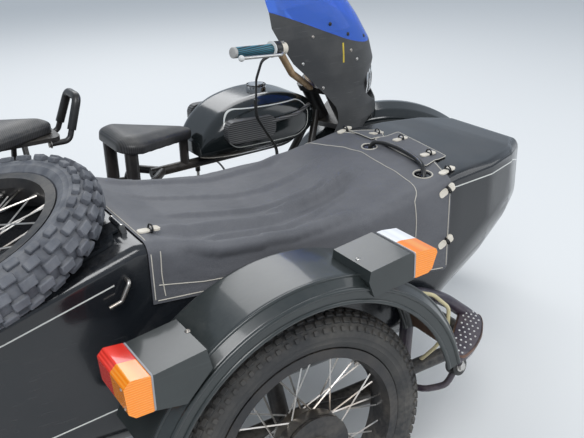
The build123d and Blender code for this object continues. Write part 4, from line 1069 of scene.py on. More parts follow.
def stitched(name, line):
    """Thread along a line of places on a piece."""
    places = []
    for first, second in zip(line, line[1:]):
        first, second = at(*first), at(*second)
        count = max(int((second - first).length / STITCH_STEP), 1)
        places += [first.lerp(second, i / count) for i in range(count)]
    places.append(at(*line[-1]))
    snapped = []
    for place in places:
        away = (place - at(place.x - REAR_AXLE_X, HULL_Y, STITCH_CORE_Z)).normalized()
        spot, _, _, _ = surface(name).ray_cast(place + away * STITCH_REACH, -away, 2 * STITCH_REACH)
        snapped.append((spot or place) + away * THREAD_LIFT)
    return tube(snapped, sizes().thread, sides=2)


def make_flap(corners):
    """A flap of the cover with round corners, lying on what is under it, and the thread round its edge."""
    rows, columns = FLAP_GRID
    cells = [(i, j) for i in range(rows) for j in range(columns)]
    a, b, c, d = (Vector(corner) for corner in corners)
    points = []
    for i, j in cells:
        u, v = i / (rows - 1), j / (columns - 1)
        spot = a.lerp(b, u).lerp(d.lerp(c, u), v)
        top, _ = highest(("tonneau_cloth", "sidecar_body"), at(spot.x, spot.y, 1.0))
        lift = FLAP_LIFT + FLAP_WAVE * noise.noise(Vector((spot.x * 14, spot.y * 14, 0.4))) ** 2
        points.append(top + Vector((0, 0, lift)))
    for _ in range(3):
        heights = {cell: place.z for cell, place in zip(cells, points)}
        for (i, j), place in zip(cells, points):
            sides = ((i - 1, j), (i + 1, j), (i, j - 1), (i, j + 1))
            around = [heights[cell] for cell in sides if cell in heights]
            place.z = max(place.z, sum(around) / len(around))
    flap = sheet_piece("flap", points, grid_faces(rows, columns))
    use(flap, "SUBSURF", levels=1, render_levels=1)
    border = [(0, j) for j in range(columns)] + [(i, columns - 1) for i in range(1, rows)]
    border += [(rows - 1, j) for j in range(columns - 2, -1, -1)] + [(i, 0) for i in range(rows - 2, 0, -1)]
    line = [points[i * columns + j] + Vector((0, 0, THREAD_LIFT)) for i, j in border]
    use(flap, "SOLIDIFY", thickness=FLAP_THICKNESS, offset=0.0)
    return flap, tube(line, sizes().thread, closed=True)


def make_tabs():
    """Pale leather tabs with black turn loops, round the cover's front."""
    def upright(a, b):
        return abs(a.z - b.z) > 0.001

    pad = bevel_edges(cuboid((0, 0, 0.0013), (0.022, 0.015, 0.0026)), 0.006, 3, upright)
    small = bevel_edges(cuboid((0.022, 0, 0.0017), (0.014, 0.017, 0.0034)), 0.005, 3, upright)
    pads = join([pad, small])
    loop = ring(0.0075, 0.0016, (20, 8), Matrix.Translation((0.013, 0, 0.003)) @ Matrix.Rotation(pi / 2, 4, "Y"))
    foot = cuboid((0.013, 0, 0.0022), (0.005, 0.014, 0.0032))
    loops = join([loop, bevel_edges(foot, 0.0008, 1)])
    spots = []
    for x, y in TOP_TABS:
        for left in sorted({y, 2 * HULL_Y - y}) if x > 0.90 and abs(y - HULL_Y) > 0.2 else (y,):
            place, normal = highest(("tonneau_flaps", "tonneau_cloth", "sidecar_body"), at(x, left, 1.0))
            normal = normal if normal.z > 0 else -normal
            spots.append(framed(place, normal, Vector((1, 0.12, 0))) @ Matrix.Scale(TAB_SCALE, 4))
    for x, z in SIDE_TABS:
        for side in (-1, 1):
            place, normal = on_surface("tonneau_cloth", at(x, HULL_Y + side * 0.6, z), (0, -side, 0))
            spots.append(framed(place, normal, Vector((1, 0, 0.45))) @ Matrix.Scale(TAB_SCALE, 4))
    pads = finish(repeat(pads, spots), "tonneau_tabs", "leather", "root")
    loops = finish(repeat(loops, spots), "tonneau_loops", "black", "root")
    return pads, loops


def framed(place, up, along):
    """A matrix that puts a piece on a place with its top along one way and its length along another."""
    up = Vector(up).normalized()
    side = up.cross(along).normalized()
    along = side.cross(up)
    turn = Matrix((along, side, up)).transposed().to_4x4()
    return Matrix.Translation(place) @ turn


# ---- Tyres

def joint(name):
    """A joint's place and axis."""
    found = next(j for j in frame["joints"] if j["name"] == name)
    return Vector(found["pos_m"]), Vector(found["axis"])


RIM_SEAT = 0.244
# The outer radius and half width of the road tyres and the spare, and the blocks in each of their rows.
ROAD_TYRE, SPARE_TYRE = (0.340, 0.047), (0.352, 0.049)
ROAD_BLOCKS, SPARE_KNOBS = 78, 36
# The rings on a tyre's side, by their inner and outer radius.
SIDE_RINGS = ((0.268, 0.2735), (0.296, 0.3005))
RING_SLACK, RING_INSET, RING_HEIGHT = 0.004, 0.0012, 0.0011
# How far a block sinks into the carcass, how much of the crown's slope it takes, and its bevel by its smallest side.
BLOCK_SINK, BLOCK_TILT, BLOCK_BEVEL = 0.002, 0.85, 0.16


def make_tyre(name, node, body, place, axis, outer, half, depth, rows, count, finish_name):
    """A tyre with its carcass, side rings and tread, in place of the plain one."""
    small = (outer - depth - RIM_SEAT) / 2
    major = RIM_SEAT + small
    flat = Matrix.Diagonal((1, 1, half / small, 1))
    tyre = ring(major, small, (96, 28), flat)
    for low, high in SIDE_RINGS:

        def on_ring(centre, _):
            out = hypot(centre.x, centre.y)
            return low - RING_SLACK < out < high + RING_SLACK and abs(centre.z) > half * 0.6

        select(tyre, "FACE", on_ring)
        bpy.ops.mesh.inset(thickness=RING_INSET, depth=RING_HEIGHT, use_even_offset=False)
        leave()
    blocks = []
    for offset, size, shift in rows:
        long, wide, deep = size
        round_crown = asin(offset / half)
        tilt = BLOCK_TILT * round_crown
        lean = Matrix.Rotation(2 * pi * shift / count, 4, "Z")
        block = bevel_edges(cuboid((0, 0, 0), (deep, long, wide)), min(size) * BLOCK_BEVEL, 1)
        reach = deep / 2 - BLOCK_SINK
        spot = Vector((major + small * cos(round_crown) + reach * cos(tilt), 0, offset + reach * sin(tilt)))
        block.matrix_world = lean @ Matrix.Translation(spot) @ Matrix.Rotation(-tilt, 4, "Y")
        blocks.append(settle(block))
    tread = repeat(join(blocks), [Matrix.Rotation(2 * pi * i / count, 4, "Z") for i in range(count)])
    whole = join([tyre, tread])
    whole.matrix_world = facing(place, axis)
    whole = finish(settle(whole), name, finish_name, body, 40)
    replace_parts(whole, node)
    return whole


# Each row of blocks: how far it lies from the tyre's middle, its length, width and depth, and its shift round it.
ROAD_ROWS = (
    (-0.030, (0.0185, 0.0125, 0.008), 0.5),
    (-0.015, (0.0185, 0.0125, 0.008), 0.0),
    (0.0, (0.0185, 0.0125, 0.008), 0.5),
    (0.015, (0.0185, 0.0125, 0.008), 0.0),
    (0.030, (0.0185, 0.0125, 0.008), 0.5),
    (-0.042, (0.012, 0.012, 0.007), 0.0),
    (0.042, (0.012, 0.012, 0.007), 0.0),
)
KNOB_ROWS = (
    (-0.012, (0.036, 0.022, 0.015), 0.0),
    (0.012, (0.036, 0.022, 0.015), 0.5),
    (-0.033, (0.034, 0.020, 0.015), 0.5),
    (0.033, (0.034, 0.020, 0.015), 0.0),
    (-0.046, (0.030, 0.017, 0.013), 0.0),
    (0.046, (0.030, 0.017, 0.013), 0.5),
)


def spare_place():
    """The spare wheel's middle and the way its axle points."""
    back, lift = SPARE_BACK, SPARE_LIFT
    along, up = cos(TRUNK_SLOPE), sin(TRUNK_SLOPE)
    place = at(-back * along - lift * up, HULL_Y, TRUNK_EDGE_Z - back * up + lift * along)
    return place, Vector((-up, 0, along))


def make_tyres():
    """The three road tyres and the knobbly spare."""
    depth = sizes().tread
    for wheel in ("front", "rear", "sidecar"):
        spot = (f"{wheel}_wheel", *joint(f"{wheel}_wheel_spin"))
        make_tyre(f"{wheel}_treaded_tyre", f"{wheel}_tyre", *spot, *ROAD_TYRE, depth, ROAD_ROWS, ROAD_BLOCKS, "tyre")
    spot = ("trunk_lid", *spare_place())
    make_tyre("spare_knobbly_tyre", "spare_tyre", *spot, *SPARE_TYRE, sizes().knob, KNOB_ROWS, SPARE_KNOBS, "knobs")


# ---- Saddles

# How far the saddles' tops rise in the middle and fall towards their edges, how wide the fall is, and how far their
# backs are drawn in.
SADDLE_RISE, SADDLE_DROP, SADDLE_CROWN, SADDLE_TUCK = 0.003, 0.020, 0.034, 0.014
SADDLE_VOXEL = 0.004


def make_saddles():
    """Both moulded rubber saddles, crowned and softly edged, in place of the plain solids."""
    for node in ("driver_saddle", "passenger_saddle"):
        saddle = welded_copy(node, f"{node}_rubber")
        use(saddle, "REMESH", mode="VOXEL", voxel_size=SADDLE_VOXEL)
        use(saddle, "SMOOTH", factor=0.5, iterations=6)
        low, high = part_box(node)
        middle, reach = (low + high) / 2, (high - low) / 2
        points = saddle.data.vertices
        wall = [point.co for point in points if abs(point.normal.z) < 0.35]
        edge = kdtree.KDTree(len(wall))
        for index, place in enumerate(wall):
            edge.insert((place.x, place.y, 0), index)
        edge.balance()
        fall = [edge.find((point.co.x, point.co.y, 0))[2] for point in points]
        for point, inward in zip(points, fall):
            along = (point.co.x - middle.x) / reach.x
            upper = min(max((point.co.z - low.z) / (high.z - low.z), 0.0), 1.0)
            point.co.z += upper * (SADDLE_RISE - SADDLE_DROP * exp(-((inward / SADDLE_CROWN) ** 2)))
            point.co.x += SADDLE_TUCK * max(0.0, -along) ** 3
        use(saddle, "SMOOTH", factor=0.5, iterations=4)
        saddle = finish(saddle, f"{node}_rubber", "saddle", "root", 60)
        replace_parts(saddle, node)


# ---- The sidecar's fender and lamps

# The fender's beads: radius, place across and share of the common thickness. The angles where they start and end.
FENDER_BEADS = ((0.3965, -0.0845, 1), (0.4265, -0.0865, 1), (0.4465, -0.0600, 0.8), (0.4265, 0.1185, 1))
BEAD_START, BEAD_END = 14.5, 155.5
LAMP_Y = -1.170
# The lamps' gaskets: forward, up and height. Then the screws of the boxes and of the lenses.
GASKETS = ((0.5432, 0.7740, 0.0650), (-0.0962, 0.6920, 0.0830))
LAMP_SCREWS = ((0.019, -1.157), (0.433, -1.175))
LENS_SCREW_Y = -1.225
LENS_SCREWS = ((0.9, 0.765, -1), (0.9, 0.750, -1), (-0.5, 0.715, 1), (-0.5, 0.670, 1))


def bead(radius, off, thick):
    """A round bead along the sidecar fender, by its radius and its place across."""
    centre = at(*FENDER_CENTRE)
    start = radians(BEAD_START)
    place = centre + Vector((radius * cos(start), off, radius * sin(start)))
    matrix = facing(place, Vector((-sin(start), 0, cos(start))))
    section = add("circle", vertices=12, radius=thick, fill_type="NGON", matrix=matrix)
    select(section, "FACE", everything)
    bpy.ops.mesh.spin(steps=64, angle=radians(BEAD_END) - start, center=centre, axis=(0, 1, 0))
    leave()
    return face_out(section)


def make_fender_trim():
    """The fender's rolled beads and lining, the lamps' gaskets and screws."""
    thick = sizes().bead
    beads = [bead(radius, off, thick * share) for radius, off, share in FENDER_BEADS]
    finish(join(beads), "fender_beads", "fender", "root")
    plates = []
    for x, z, tall in GASKETS:
        plate = cuboid(at(x, LAMP_Y, z), (0.0035, 0.1425, tall))
        plates.append(bevel_edges(plate, 0.006, 3, lambda a, b: abs(a.x - b.x) > 0.001))
    finish(join(plates), "lamp_gaskets", "gasket", "root")
    screws = [("lamp_boxes", at(x, y, 1.0), (0, 0, -1)) for x, y in LAMP_SCREWS]
    bolts_on("lamp_screws", round_screw(0.0062), "steel", "root", screws)
    screws = [("amber_lenses", at(x, LENS_SCREW_Y, z), (way, 0, 0)) for x, z, way in LENS_SCREWS]
    bolts_on("lens_screws", round_screw(0.0036), "steel", "root", screws)
    fender_lining()


def fender_lining():
    """The rusty inside of the sidecar's fender."""
    centre = at(*FENDER_CENTRE)
    start = radians(15)
    section = add("plane", size=1)
    select(section, "FACE", everything)
    bpy.ops.mesh.delete(type="ONLY_FACE")
    leave()
    mesh = section.data
    outline = ((-0.079, 0.397), (-0.0815, 0.4225), (-0.056, 0.4425), (0.108, 0.4445))
    for index, (off, radius) in zip((0, 2, 3, 1), outline):
        mesh.vertices[index].co = centre + Vector((radius * cos(start), off, radius * sin(start)))
    select(section, "EDGE", lambda a, b: {round(a.y - centre.y, 3), round(b.y - centre.y, 3)} == {-0.079, 0.108})
    bpy.ops.mesh.delete(type="EDGE")
    leave()
    select(section, "EDGE", everything)
    bpy.ops.mesh.spin(steps=72, angle=radians(140), center=centre, axis=(0, 1, 0))
    leave()
    use(section, "SOLIDIFY", thickness=0.0008, offset=0.0)
    return finish(face_out(section), "fender_lining", "rust", "root")


# ---- The step

STEP_LINE = (
    (0.740, -0.985, 0.275), (0.744, -0.988, 0.420), (0.750, -0.992, 0.500), (0.760, -1.000, 0.528),
    (0.790, -1.001, 0.516), (0.862, -1.004, 0.482), (0.925, -1.010, 0.428), (0.952, -1.024, 0.404),
    (0.938, -1.048, 0.399), (0.870, -1.100, 0.394), (0.812, -1.140, 0.388), (0.768, -1.152, 0.384),
)
STAY_LINE = (
    (0.790, -1.149, 0.384), (0.764, -1.150, 0.322), (0.740, -1.130, 0.305), (0.700, -1.092, 0.290),
    (0.690, -0.985, 0.275),
)
STEP_RADIUS, STAY_RADIUS = 0.019, 0.009
# The pad's middle line and its half width there.
PAD_LINE = (
    ((0.955, -1.020, 0.4120), 0.030),
    ((0.925, -1.052, 0.4115), 0.037),
    ((0.880, -1.090, 0.4085), 0.039),
    ((0.830, -1.122, 0.4050), 0.035),
    ((0.775, -1.146, 0.4010), 0.025),
)
PAD_STATIONS = 24
STUD_LIFT, STUD_FALL = 0.0102, 0.0035
PAD_UP = Vector((0.18, -0.16, 1.0)).normalized()
# Sections of the pad and of its rim: across as a share of the half width, and up.
PAD_SECTION = (
    (-0.93, -0.020), (-0.99, -0.010), (-0.97, 0.000), (-0.88, 0.0058), (-0.5, 0.0092), (0, 0.0102),
    (0.5, 0.0092), (0.88, 0.0058), (0.97, 0.000), (0.99, -0.010), (0.93, -0.020),
)
RIM_SECTION = ((-1.0, -0.004), (-1.035, 0.0005), (-1.0, 0.0050), (-0.93, 0.0068), (-0.90, 0.0040), (-0.95, -0.002))


def pad_frames():
    """Places along the pad's middle line, each with its directions along, aside and up and its half width."""
    line = []
    for step in range(PAD_STATIONS + 1):
        share = step / PAD_STATIONS * (len(PAD_LINE) - 1)
        index = min(int(share), len(PAD_LINE) - 2)
        before, after = PAD_LINE[max(index - 1, 0)], PAD_LINE[min(index + 2, len(PAD_LINE) - 1)]
        t = share - index
        (p0, _), (p1, w1), (p2, w2), (p3, _) = before, PAD_LINE[index], PAD_LINE[index + 1], after
        p0, p1, p2, p3 = (Vector(p) for p in (p0, p1, p2, p3))
        bend, twist = 2 * p0 - 5 * p1 + 4 * p2 - p3, 3 * p1 - p0 - 3 * p2 + p3
        place = 0.5 * (2 * p1 + (p2 - p0) * t + bend * t * t + twist * t ** 3)
        width = w1 + (w2 - w1) * t
        ends = min(min(step, PAD_STATIONS - step) / 3, 1)
        line.append((at(*place), width * sqrt(max(1 - (1 - ends) ** 2, 0.12))))
    frames = []
    for step, (place, width) in enumerate(line):
        along = (line[min(step + 1, PAD_STATIONS)][0] - line[max(step - 1, 0)][0]).normalized()
        side = PAD_UP.cross(along).normalized()
        frames.append((place, along, side, along.cross(side).normalized(), width))
    return frames


def swept(section, frames):
    """A section extruded along the pad's middle line."""
    piece = add("circle", vertices=len(section), radius=1, fill_type="NGON")
    place, _, side, up, width = frames[0]
    for point, (across, lift) in zip(piece.data.vertices, section):
        point.co = place + side * across * width + up * lift
    select(piece, "FACE", everything)
    for before, after in zip(frames, frames[1:]):
        bpy.ops.mesh.extrude_region_move()
        leave()
        for point in piece.data.vertices:
            if point.select:
                gap = point.co - before[0]
                across, lift = gap.dot(before[2]) / before[4], gap.dot(before[3])
                point.co = after[0] + after[2] * across * after[4] + after[3] * lift
        bpy.ops.object.mode_set(mode="EDIT")
    leave()
    return face_out(piece)


def make_step():
    """The step's bent tube and stay, its studded pad with a worn rim, and its clamp."""
    runs = ((STEP_LINE, STEP_RADIUS, 7), (STAY_LINE, STAY_RADIUS, 5))
    tubes = [tube([at(*p) for p in line], radius, sides=sides) for line, radius, sides in runs]
    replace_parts(finish(join(tubes), "step_tubes", "step", "root", 60), "step_bar")
    frames = pad_frames()
    finish(swept(PAD_SECTION, frames), "step_pad", "step", "root", 40)
    rims = [swept(section, frames) for section in (RIM_SECTION, [(-across, lift) for across, lift in RIM_SECTION])]
    finish(join(rims), "step_pad_rim", "copper", "root", 50)
    spots = []
    for index in range(2, PAD_STATIONS - 1, 2):
        place, along, side, up, width = frames[index]
        for across in (-0.6, -0.2, 0.2, 0.6) if index % 4 else (-0.4, 0.0, 0.4):
            crown = STUD_LIFT - STUD_FALL * across * across
            spots.append(framed(place + side * across * width + up * crown, up, along))
    finish(repeat(dot(10, 6, 0.0031, 0.8), spots), "step_studs", "white", "root")
    axis = (0.1, -1, 0.2)
    clamp = rod(28, 0.027, 0.030, at(0.782, -1.150, 0.372), axis)
    finish(bevel_edges(clamp, 0.003, 2), "step_clamp", "black", "root")
    bolt = repeat(hex_bolt(0.011, 0.009), [facing(at(0.7835, -1.1645, 0.375), axis)])
    finish(bolt, "step_clamp_bolt", "steel", "root")


# ---- The fairing and the bars

# Bolts and screws on the right side of the fairing and the screen, as they lie at rest. The marks' line at the side.
FAIRING_BOLTS = (
    (0.966, -0.215, 1.086), (1.119, -0.222, 1.023), (1.148, -0.218, 0.988), (1.010, -0.210, 0.900),
    (0.930, -0.205, 1.000),
)
SCREEN_SCREWS = ((1.194, -0.198, 1.055), (1.120, -0.198, 1.085), (1.045, -0.200, 1.125))
MARK_LINE = ((1.178, 1.099), (1.181, 1.070), (1.185, 1.031))
MARK_RADIUS, MARK_FLATNESS = 0.0032, 0.25


def make_fairing_trim():
    """Bolts on the fairing, its yellow marks and the screen's screws."""
    for name, node, screw, paint, places in (
        ("fairing_bolts", "fairing", 0.0058, "steel", FAIRING_BOLTS),
        ("screen_screws", "windscreen", 0.0065, "black", SCREEN_SCREWS),
    ):
        lines = [(node, place + away * 0.3, -away) for place, away in fairing_places(places)]
        bolts_on(name, round_screw(screw), paint, "steering", lines)
    marks = []
    for side in (-1, 1):
        line = []
        for x, z in MARK_LINE:
            start = turned(at(x, side * 0.6, z))
            place, normal = on_surface("fairing", start, turned(at(x, 0, z)) - start)
            line.append(place + normal * 0.0003)
        strip = tube(line, MARK_RADIUS, sides=3)
        for point in strip.data.vertices:
            near, _ = nearest("fairing", point.co)
            point.co = near + (point.co - near) * MARK_FLATNESS
        marks.append(strip)
    finish(join(marks), "fairing_marks", "yellow", "steering")


def fairing_places(points):
    """Places at rest on the fairing's right side, and their like on its left, with the way out from its middle."""
    found = []
    straight = Matrix.Rotation(-STEER_AT_REST, 3, STEER_AXIS)
    for point in points:
        flat = STEER_FOOT + straight @ (at(*point) - STEER_FOOT)
        for side in (-1, 1):
            y = BIKE_Y + side * abs(flat.y - BIKE_Y)
            place = turned((flat.x, y, flat.z))
            away = (place - turned((flat.x, BIKE_Y, flat.z))).normalized()
            found.append((place, away))
    return found


# Where a grip starts and ends and its lever's ball sits, on the left, straight ahead.
GRIP_INNER, GRIP_OUTER, BALL = (0.926, 0.322, 1.156), (0.799, 0.420, 1.187), (0.824, 0.460, 1.188)


def make_bar_trim():
    """The grips' ends and rings, the throttle's housing, the clamps and the levers' perches."""
    up = (turned(at(0, 0, 1)) - turned(at(0, 0, 0))).normalized()
    ends, rings, housings, clamps, screws = [], [], [], [], []
    for side in (-1, 1):
        inner, outer = (turned(at(x, side * y, z)) for x, y, z in (GRIP_INNER, GRIP_OUTER))
        along = (outer - inner).normalized()

        def outer_rim(a, b):
            first, second = (a - outer).dot(along), (b - outer).dot(along)
            return abs(first - second) < 0.0005 and first > 0

        ends.append(bevel_edges(rod(32, 0.0172, 0.010, outer - along * 0.0015, along), 0.003, 3, outer_rim))
        rings.append(bevel_edges(rod(40, 0.0265, 0.004, inner + along * 0.006, along), 0.0012, 2))
        housings.append(bevel_edges(rod(32, 0.0245, 0.026, inner - along * 0.012, along), 0.003, 3))
        clamp = inner - along * 0.040
        clamps.append(bevel_edges(rod(32, 0.0195, 0.022, clamp, along), 0.003, 3))
        screws.append(facing(clamp + up * 0.019, (0, 0, 1)))
    finish(join(ends), "grip_ends", "grip_end", "steering")
    finish(join(rings), "grip_rings", "white", "steering")
    finish(join(housings), "throttle_housings", "black", "steering")
    finish(join(clamps), "lever_clamps", "leather", "steering")
    finish(repeat(hex_bolt(0.0055, 0.005), screws), "clamp_bolts", "steel", "steering")
    balls = [dot(20, 12, 0.0098, place=turned(at(BALL[0], side * BALL[1], BALL[2]))) for side in (-1, 1)]
    finish(join(balls), "lever_balls", "white", "steering")
    lamp, ahead = turned(at(1.288, 0, 0.905)), turned(at(1.388, 0, 0.905))
    rim = ring(0.084, 0.0048, (64, 12), facing(lamp, ahead - lamp))
    finish(rim, "headlamp_ring", "chrome", "steering")


# ---- The engine, the hubs and the body

COVER_BOLT_RING, FRONT_BOLT_RING = 0.046, 0.080


def make_engine_trim():
    """Nuts, plugs, leads and cover bolts on the engine."""
    centre = at(ENGINE_X, 0, ENGINE_Z)
    covers, plugs, leads, caps = [], [], [], []
    for side in (-1, 1):
        place, _ = on_surface("cylinders", centre + Vector((0, side * 0.6, 0)), (0, -side, 0))
        covers.append(facing(place, Vector((0, side, 0)), scale=1.5))
        for step in range(6):
            angle = radians(30 + 60 * step)
            start = centre + Vector((COVER_BOLT_RING * cos(angle), side * 0.6, COVER_BOLT_RING * sin(angle)))
            place, _ = on_surface("cylinders", start, (0, -side, 0))
            covers.append(facing(place, Vector((0, side, 0)), scale=0.6))
        top, _ = on_surface("cylinders", at(ENGINE_X + 0.02, side * 0.285, 0.9), (0, 0, -1))
        up = Vector((0, 0, 1))
        plugs.append(bevel_edges(rod(6, 0.010, 0.016, top + up * 0.006), 0.001, 1))
        plugs.append(rod(20, 0.006, 0.030, top + up * 0.026))
        caps.append(bevel_edges(rod(20, 0.010, 0.034, top + up * 0.052), 0.003, 2))
        inward = ((0.03, 0.20, 0.600), (0.04, 0.10, 0.585), (0.03, 0.05, 0.560))
        line = [top + up * 0.066, top + up * 0.096] + [at(ENGINE_X + x, side * y, z) for x, y, z in inward]
        leads.append(tube(line, 0.0036))
    finish(repeat(hex_bolt(sizes().bolt, 0.007), covers), "head_cover_bolts", "steel", "root")
    finish(join(plugs), "spark_plugs", "white", "root")
    finish(join(caps), "plug_caps", "black", "root")
    finish(join(leads), "plug_leads", "black", "root")
    places = []
    for step in range(7):
        angle = radians(20 + 360 / 7 * step)
        start = centre + Vector((0.5, FRONT_BOLT_RING * cos(angle), FRONT_BOLT_RING * sin(angle) + 0.01))
        places.append(("engine_block", start, (-1, 0, 0)))
    bolts_on("engine_front_bolts", round_screw(0.0062), "steel", "root", places)


def make_wheel_trim():
    """Axle nuts and valves on the wheels."""
    for wheel, node, body, place, axis in wheel_list():
        spots = []
        across = axis.orthogonal().normalized()
        for side in (-1, 1):
            point, _ = on_surface(node, place + axis * side * 0.4 + across * 0.017, -axis * side)
            spots.append(facing(place + axis * (point - place).dot(axis), axis * side))
        finish(repeat(hex_bolt(0.013, 0.012), spots), f"{wheel}_axle_nuts", "steel", body)
        stem = rod(14, 0.0030, 0.034, place + across * 0.232, across)
        collar = rod(6, 0.0060, 0.005, place + across * 0.222, across)
        finish(join([stem, collar]), f"{wheel}_valve", "steel", body)


def wheel_list():
    """Each wheel's name, hub, body, middle and axis."""
    names = ("front", "rear", "sidecar")
    wheels = [(name, f"{name}_hub", f"{name}_wheel", *joint(f"{name}_wheel_spin")) for name in names]
    return wheels + [("spare", "spare_hub", "trunk_lid", *spare_place())]


def make_shell():
    """The sidecar's painted body with smoothly shaded panels, in place of the plain node."""
    shell = welded_copy("sidecar_body", "sidecar_shell")
    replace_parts(finish(shell, "sidecar_shell", "hull", "root", 24), "sidecar_body")


def make_handle_sleeve(foot):
    """The soft sleeve round the grab handle's hoop."""
    def leg(side, share):
        start = at(0.150, side * 0.062, 0)
        start.z = foot
        return start.lerp(at(0.196, side * 0.046, 0.972), share)

    shares = (0.25, 0.45, 0.70, 1.0)
    line = [leg(1, share) for share in shares] + [at(0.196, 0, 0.972)]
    line += [leg(-1, share) for share in reversed(shares)]
    finish(tube(line, 0.0138, sides=6), "handle_sleeve", "black", "root", 60)


def make_body_trim():
    """The sidecar's shell, screws on it and on the grab handle, and the tank's cap ring."""
    make_shell()
    screws = ((1.00, 0.430), (0.40, 0.400), (-0.20, 0.420))
    places = [("sidecar_body", at(x, y, z), (0, way, 0)) for y, way in ((-1.3, 1), (-0.1, -1)) for x, z in screws]
    bolts_on("body_screws", round_screw(0.0055), "steel", "root", places)
    spots, (low, high) = [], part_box("grab_handle")
    for side in (-1, 1):
        for lift in (0.020, 0.050):
            place, normal = nearest("grab_handle", (low.x, BIKE_Y + side * 0.3, low.z + lift))
            spots.append(facing(place, normal))
    finish(repeat(hex_bolt(0.0085, 0.007), spots), "grab_handle_bolts", "steel", "root")
    make_handle_sleeve(low.z + 0.009)
    low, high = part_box("tank_cap")
    middle = (low + high) / 2
    matrix = Matrix.Translation((middle.x, middle.y, high.z - 0.004))
    finish(ring((high.x - low.x) / 2 - 0.002, 0.0022, (48, 10), matrix), "tank_cap_ring", "black", "root")


# ---- The camera and the stage

CAMERA_PLACE = (-0.5309, -2.4486, 1.5843)
CAMERA_LENS, SENSOR_WIDTH = 49.105, 36.0
CAMERA_YAW, CAMERA_PITCH, CAMERA_ROLL = radians(31.954), radians(23.330), radians(-1.673)
# Each lamp's name, place, size and power.
LAMPS = (
    ("Key", (-2.5, -4.0, 5.5), 3.0, 230.0),
    ("Fill", (4.5, -3.0, 3.5), 4.0, 80.0),
    ("Back", (1.5, 5.0, 5.0), 4.0, 150.0),
)
LAMP_TARGET = Vector((0, 0, 0.5))
FLOOR_SIZE = 60


def make_camera():
    """A camera where the photographer stood."""
    forward = Vector((sin(CAMERA_YAW) * cos(CAMERA_PITCH), cos(CAMERA_YAW) * cos(CAMERA_PITCH), -sin(CAMERA_PITCH)))
    level = forward.cross(Vector((0, 0, 1))).normalized()
    upright = level.cross(forward)
    right = cos(CAMERA_ROLL) * level + sin(CAMERA_ROLL) * upright
    up = -sin(CAMERA_ROLL) * level + cos(CAMERA_ROLL) * upright
    bpy.ops.object.camera_add(location=at(*CAMERA_PLACE))
    camera = bpy.context.object
    camera.name = "Camera"
    turn = Matrix((right, up, -forward)).transposed()
    camera.rotation_euler = turn.to_euler()
    camera.data.lens = CAMERA_LENS
    camera.data.sensor_width = SENSOR_WIDTH
    camera.data.dof.use_dof = False
    bpy.context.scene.camera = camera


def make_stage():
    """A plain pale floor, a white surround for the camera and soft light."""
    floor = add("grid", x_subdivisions=4, y_subdivisions=4, size=FLOOR_SIZE)
    floor.name = "Floor"
    material, _, shader = new_material("Floor")
    shader.inputs["Base Color"].default_value = rgb(0.80, 0.80, 0.79)
    shader.inputs["Roughness"].default_value = 0.9
    floor.data.materials.append(material)
    world = bpy.data.worlds.new("Studio")
    bpy.context.scene.world = world
    world.use_nodes = True
    tree = world.node_tree
    background = tree.nodes["Background"]
    rays = link(tree, "ShaderNodeLightPath")
    seen = math(tree, "MAXIMUM", rays.outputs["Is Camera Ray"], rays.outputs["Is Transmission Ray"])
    tree.links.new(mix(tree, seen, rgb(0.78, 0.88, 1.0), rgb(0.94, 0.94, 0.94)), background.inputs[0])
    tree.links.new(spread(tree, seen, 0.0, 1.0, 0.60, 1.0), background.inputs[1])
    for name, place, size, power in LAMPS:
        bpy.ops.object.light_add(type="AREA", location=place)
        lamp = bpy.context.object
        lamp.name = name
        lamp.data.size = size
        lamp.data.energy = power
        lamp.rotation_euler = (LAMP_TARGET - Vector(place)).to_track_quat("-Z", "Y").to_euler()
    bpy.context.scene.view_settings.view_transform = "Standard"


# ---- The add-on

class SIDECAR_OT_finishes(bpy.types.Operator):
    """Makes the finishes and paints the CAD nodes"""

    bl_idname = "sidecar.finishes"
    bl_label = "Finishes"

    def execute(self, context):
        make_materials()
        paint_nodes()
        return {"FINISHED"}


class SIDECAR_OT_cover(bpy.types.Operator):
    """Makes the cloth cover over the cockpit"""

    bl_idname = "sidecar.cover"
    bl_label = "Cover"

    def execute(self, context):
        make_cover()
        return {"FINISHED"}


class SIDECAR_OT_tyres(bpy.types.Operator):
    """Makes the treaded tyres and the knobbly spare"""

    bl_idname = "sidecar.tyres"
    bl_label = "Tyres"

    def execute(self, context):
        make_tyres()
        return {"FINISHED"}


class SIDECAR_OT_saddles(bpy.types.Operator):
    """Makes both rubber saddles"""

    bl_idname = "sidecar.saddles"
    bl_label = "Saddles"

    def execute(self, context):
        make_saddles()
        return {"FINISHED"}


class SIDECAR_OT_fender_trim(bpy.types.Operator):
    """Makes the sidecar fender's beads, lining and lamp fittings"""

    bl_idname = "sidecar.fender_trim"
    bl_label = "Fender trim"

    def execute(self, context):
        make_fender_trim()
        return {"FINISHED"}


class SIDECAR_OT_step(bpy.types.Operator):
    """Makes the step with its studded pad and its clamp"""

    bl_idname = "sidecar.step"
    bl_label = "Step"

    def execute(self, context):
        make_step()
        return {"FINISHED"}


class SIDECAR_OT_fairing_trim(bpy.types.Operator):
    """Makes the fairing's bolts and marks"""

    bl_idname = "sidecar.fairing_trim"
    bl_label = "Fairing trim"

    def execute(self, context):
        make_fairing_trim()
        return {"FINISHED"}


class SIDECAR_OT_bar_trim(bpy.types.Operator):
    """Makes the bars' grips, housings and clamps"""

    bl_idname = "sidecar.bar_trim"
    bl_label = "Bar trim"

    def execute(self, context):
        make_bar_trim()
        return {"FINISHED"}


class SIDECAR_OT_engine_trim(bpy.types.Operator):
    """Makes the engine's bolts, plugs and leads"""

    bl_idname = "sidecar.engine_trim"
    bl_label = "Engine trim"

    def execute(self, context):
        make_engine_trim()
        return {"FINISHED"}


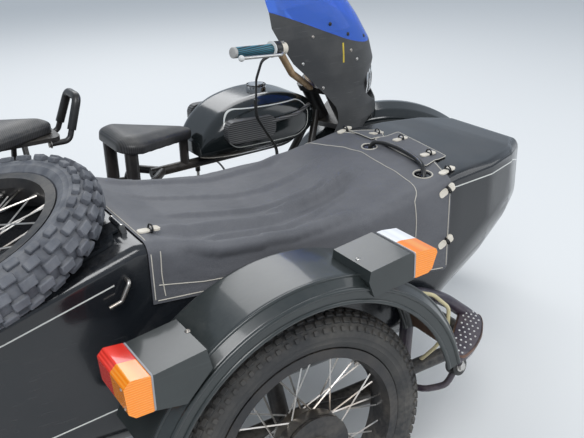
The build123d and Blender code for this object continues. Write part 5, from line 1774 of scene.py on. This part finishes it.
class SIDECAR_OT_wheel_trim(bpy.types.Operator):
    """Makes the wheels' nuts and valves"""

    bl_idname = "sidecar.wheel_trim"
    bl_label = "Wheel trim"

    def execute(self, context):
        make_wheel_trim()
        return {"FINISHED"}


class SIDECAR_OT_body_trim(bpy.types.Operator):
    """Makes the screws and rings on the bodies"""

    bl_idname = "sidecar.body_trim"
    bl_label = "Body trim"

    def execute(self, context):
        make_body_trim()
        return {"FINISHED"}


class SIDECAR_OT_stage(bpy.types.Operator):
    """Makes the camera, the floor and the light"""

    bl_idname = "sidecar.stage"
    bl_label = "Stage"

    def execute(self, context):
        make_camera()
        make_stage()
        return {"FINISHED"}


STEPS = (
    SIDECAR_OT_finishes, SIDECAR_OT_stage, SIDECAR_OT_cover, SIDECAR_OT_tyres, SIDECAR_OT_saddles,
    SIDECAR_OT_fender_trim, SIDECAR_OT_step, SIDECAR_OT_fairing_trim, SIDECAR_OT_bar_trim,
    SIDECAR_OT_engine_trim, SIDECAR_OT_wheel_trim, SIDECAR_OT_body_trim,
)


class SIDECAR_PT_pieces(bpy.types.Panel):
    """Lists the steps, sizes and colours"""

    bl_label = "Sidecar motorcycle"
    bl_idname = "SIDECAR_PT_pieces"
    bl_space_type = "VIEW_3D"
    bl_region_type = "UI"
    bl_category = "Sidecar"

    def draw(self, context):
        for step in STEPS:
            self.layout.operator(step.bl_idname)
        for settings in (sizes(), colours()):
            box = self.layout.box()
            for key in settings.__annotations__:
                box.prop(settings, key)


CLASSES = (SidecarSizes, SidecarColours, *STEPS, SIDECAR_PT_pieces)


def register():
    """Adds the classes and settings."""
    for made in CLASSES:
        bpy.utils.register_class(made)
    bpy.types.Scene.sidecar_sizes = PointerProperty(type=SidecarSizes)
    bpy.types.Scene.sidecar_colours = PointerProperty(type=SidecarColours)


def unregister():
    """Takes the classes and settings away."""
    del bpy.types.Scene.sidecar_colours
    del bpy.types.Scene.sidecar_sizes
    for made in reversed(CLASSES):
        bpy.utils.unregister_class(made)


def main():
    """Makes everything in order."""
    register()
    for step in STEPS:
        group, name = step.bl_idname.split(".")
        getattr(getattr(bpy.ops, group), name)()


if __name__ == "__main__":
    main()
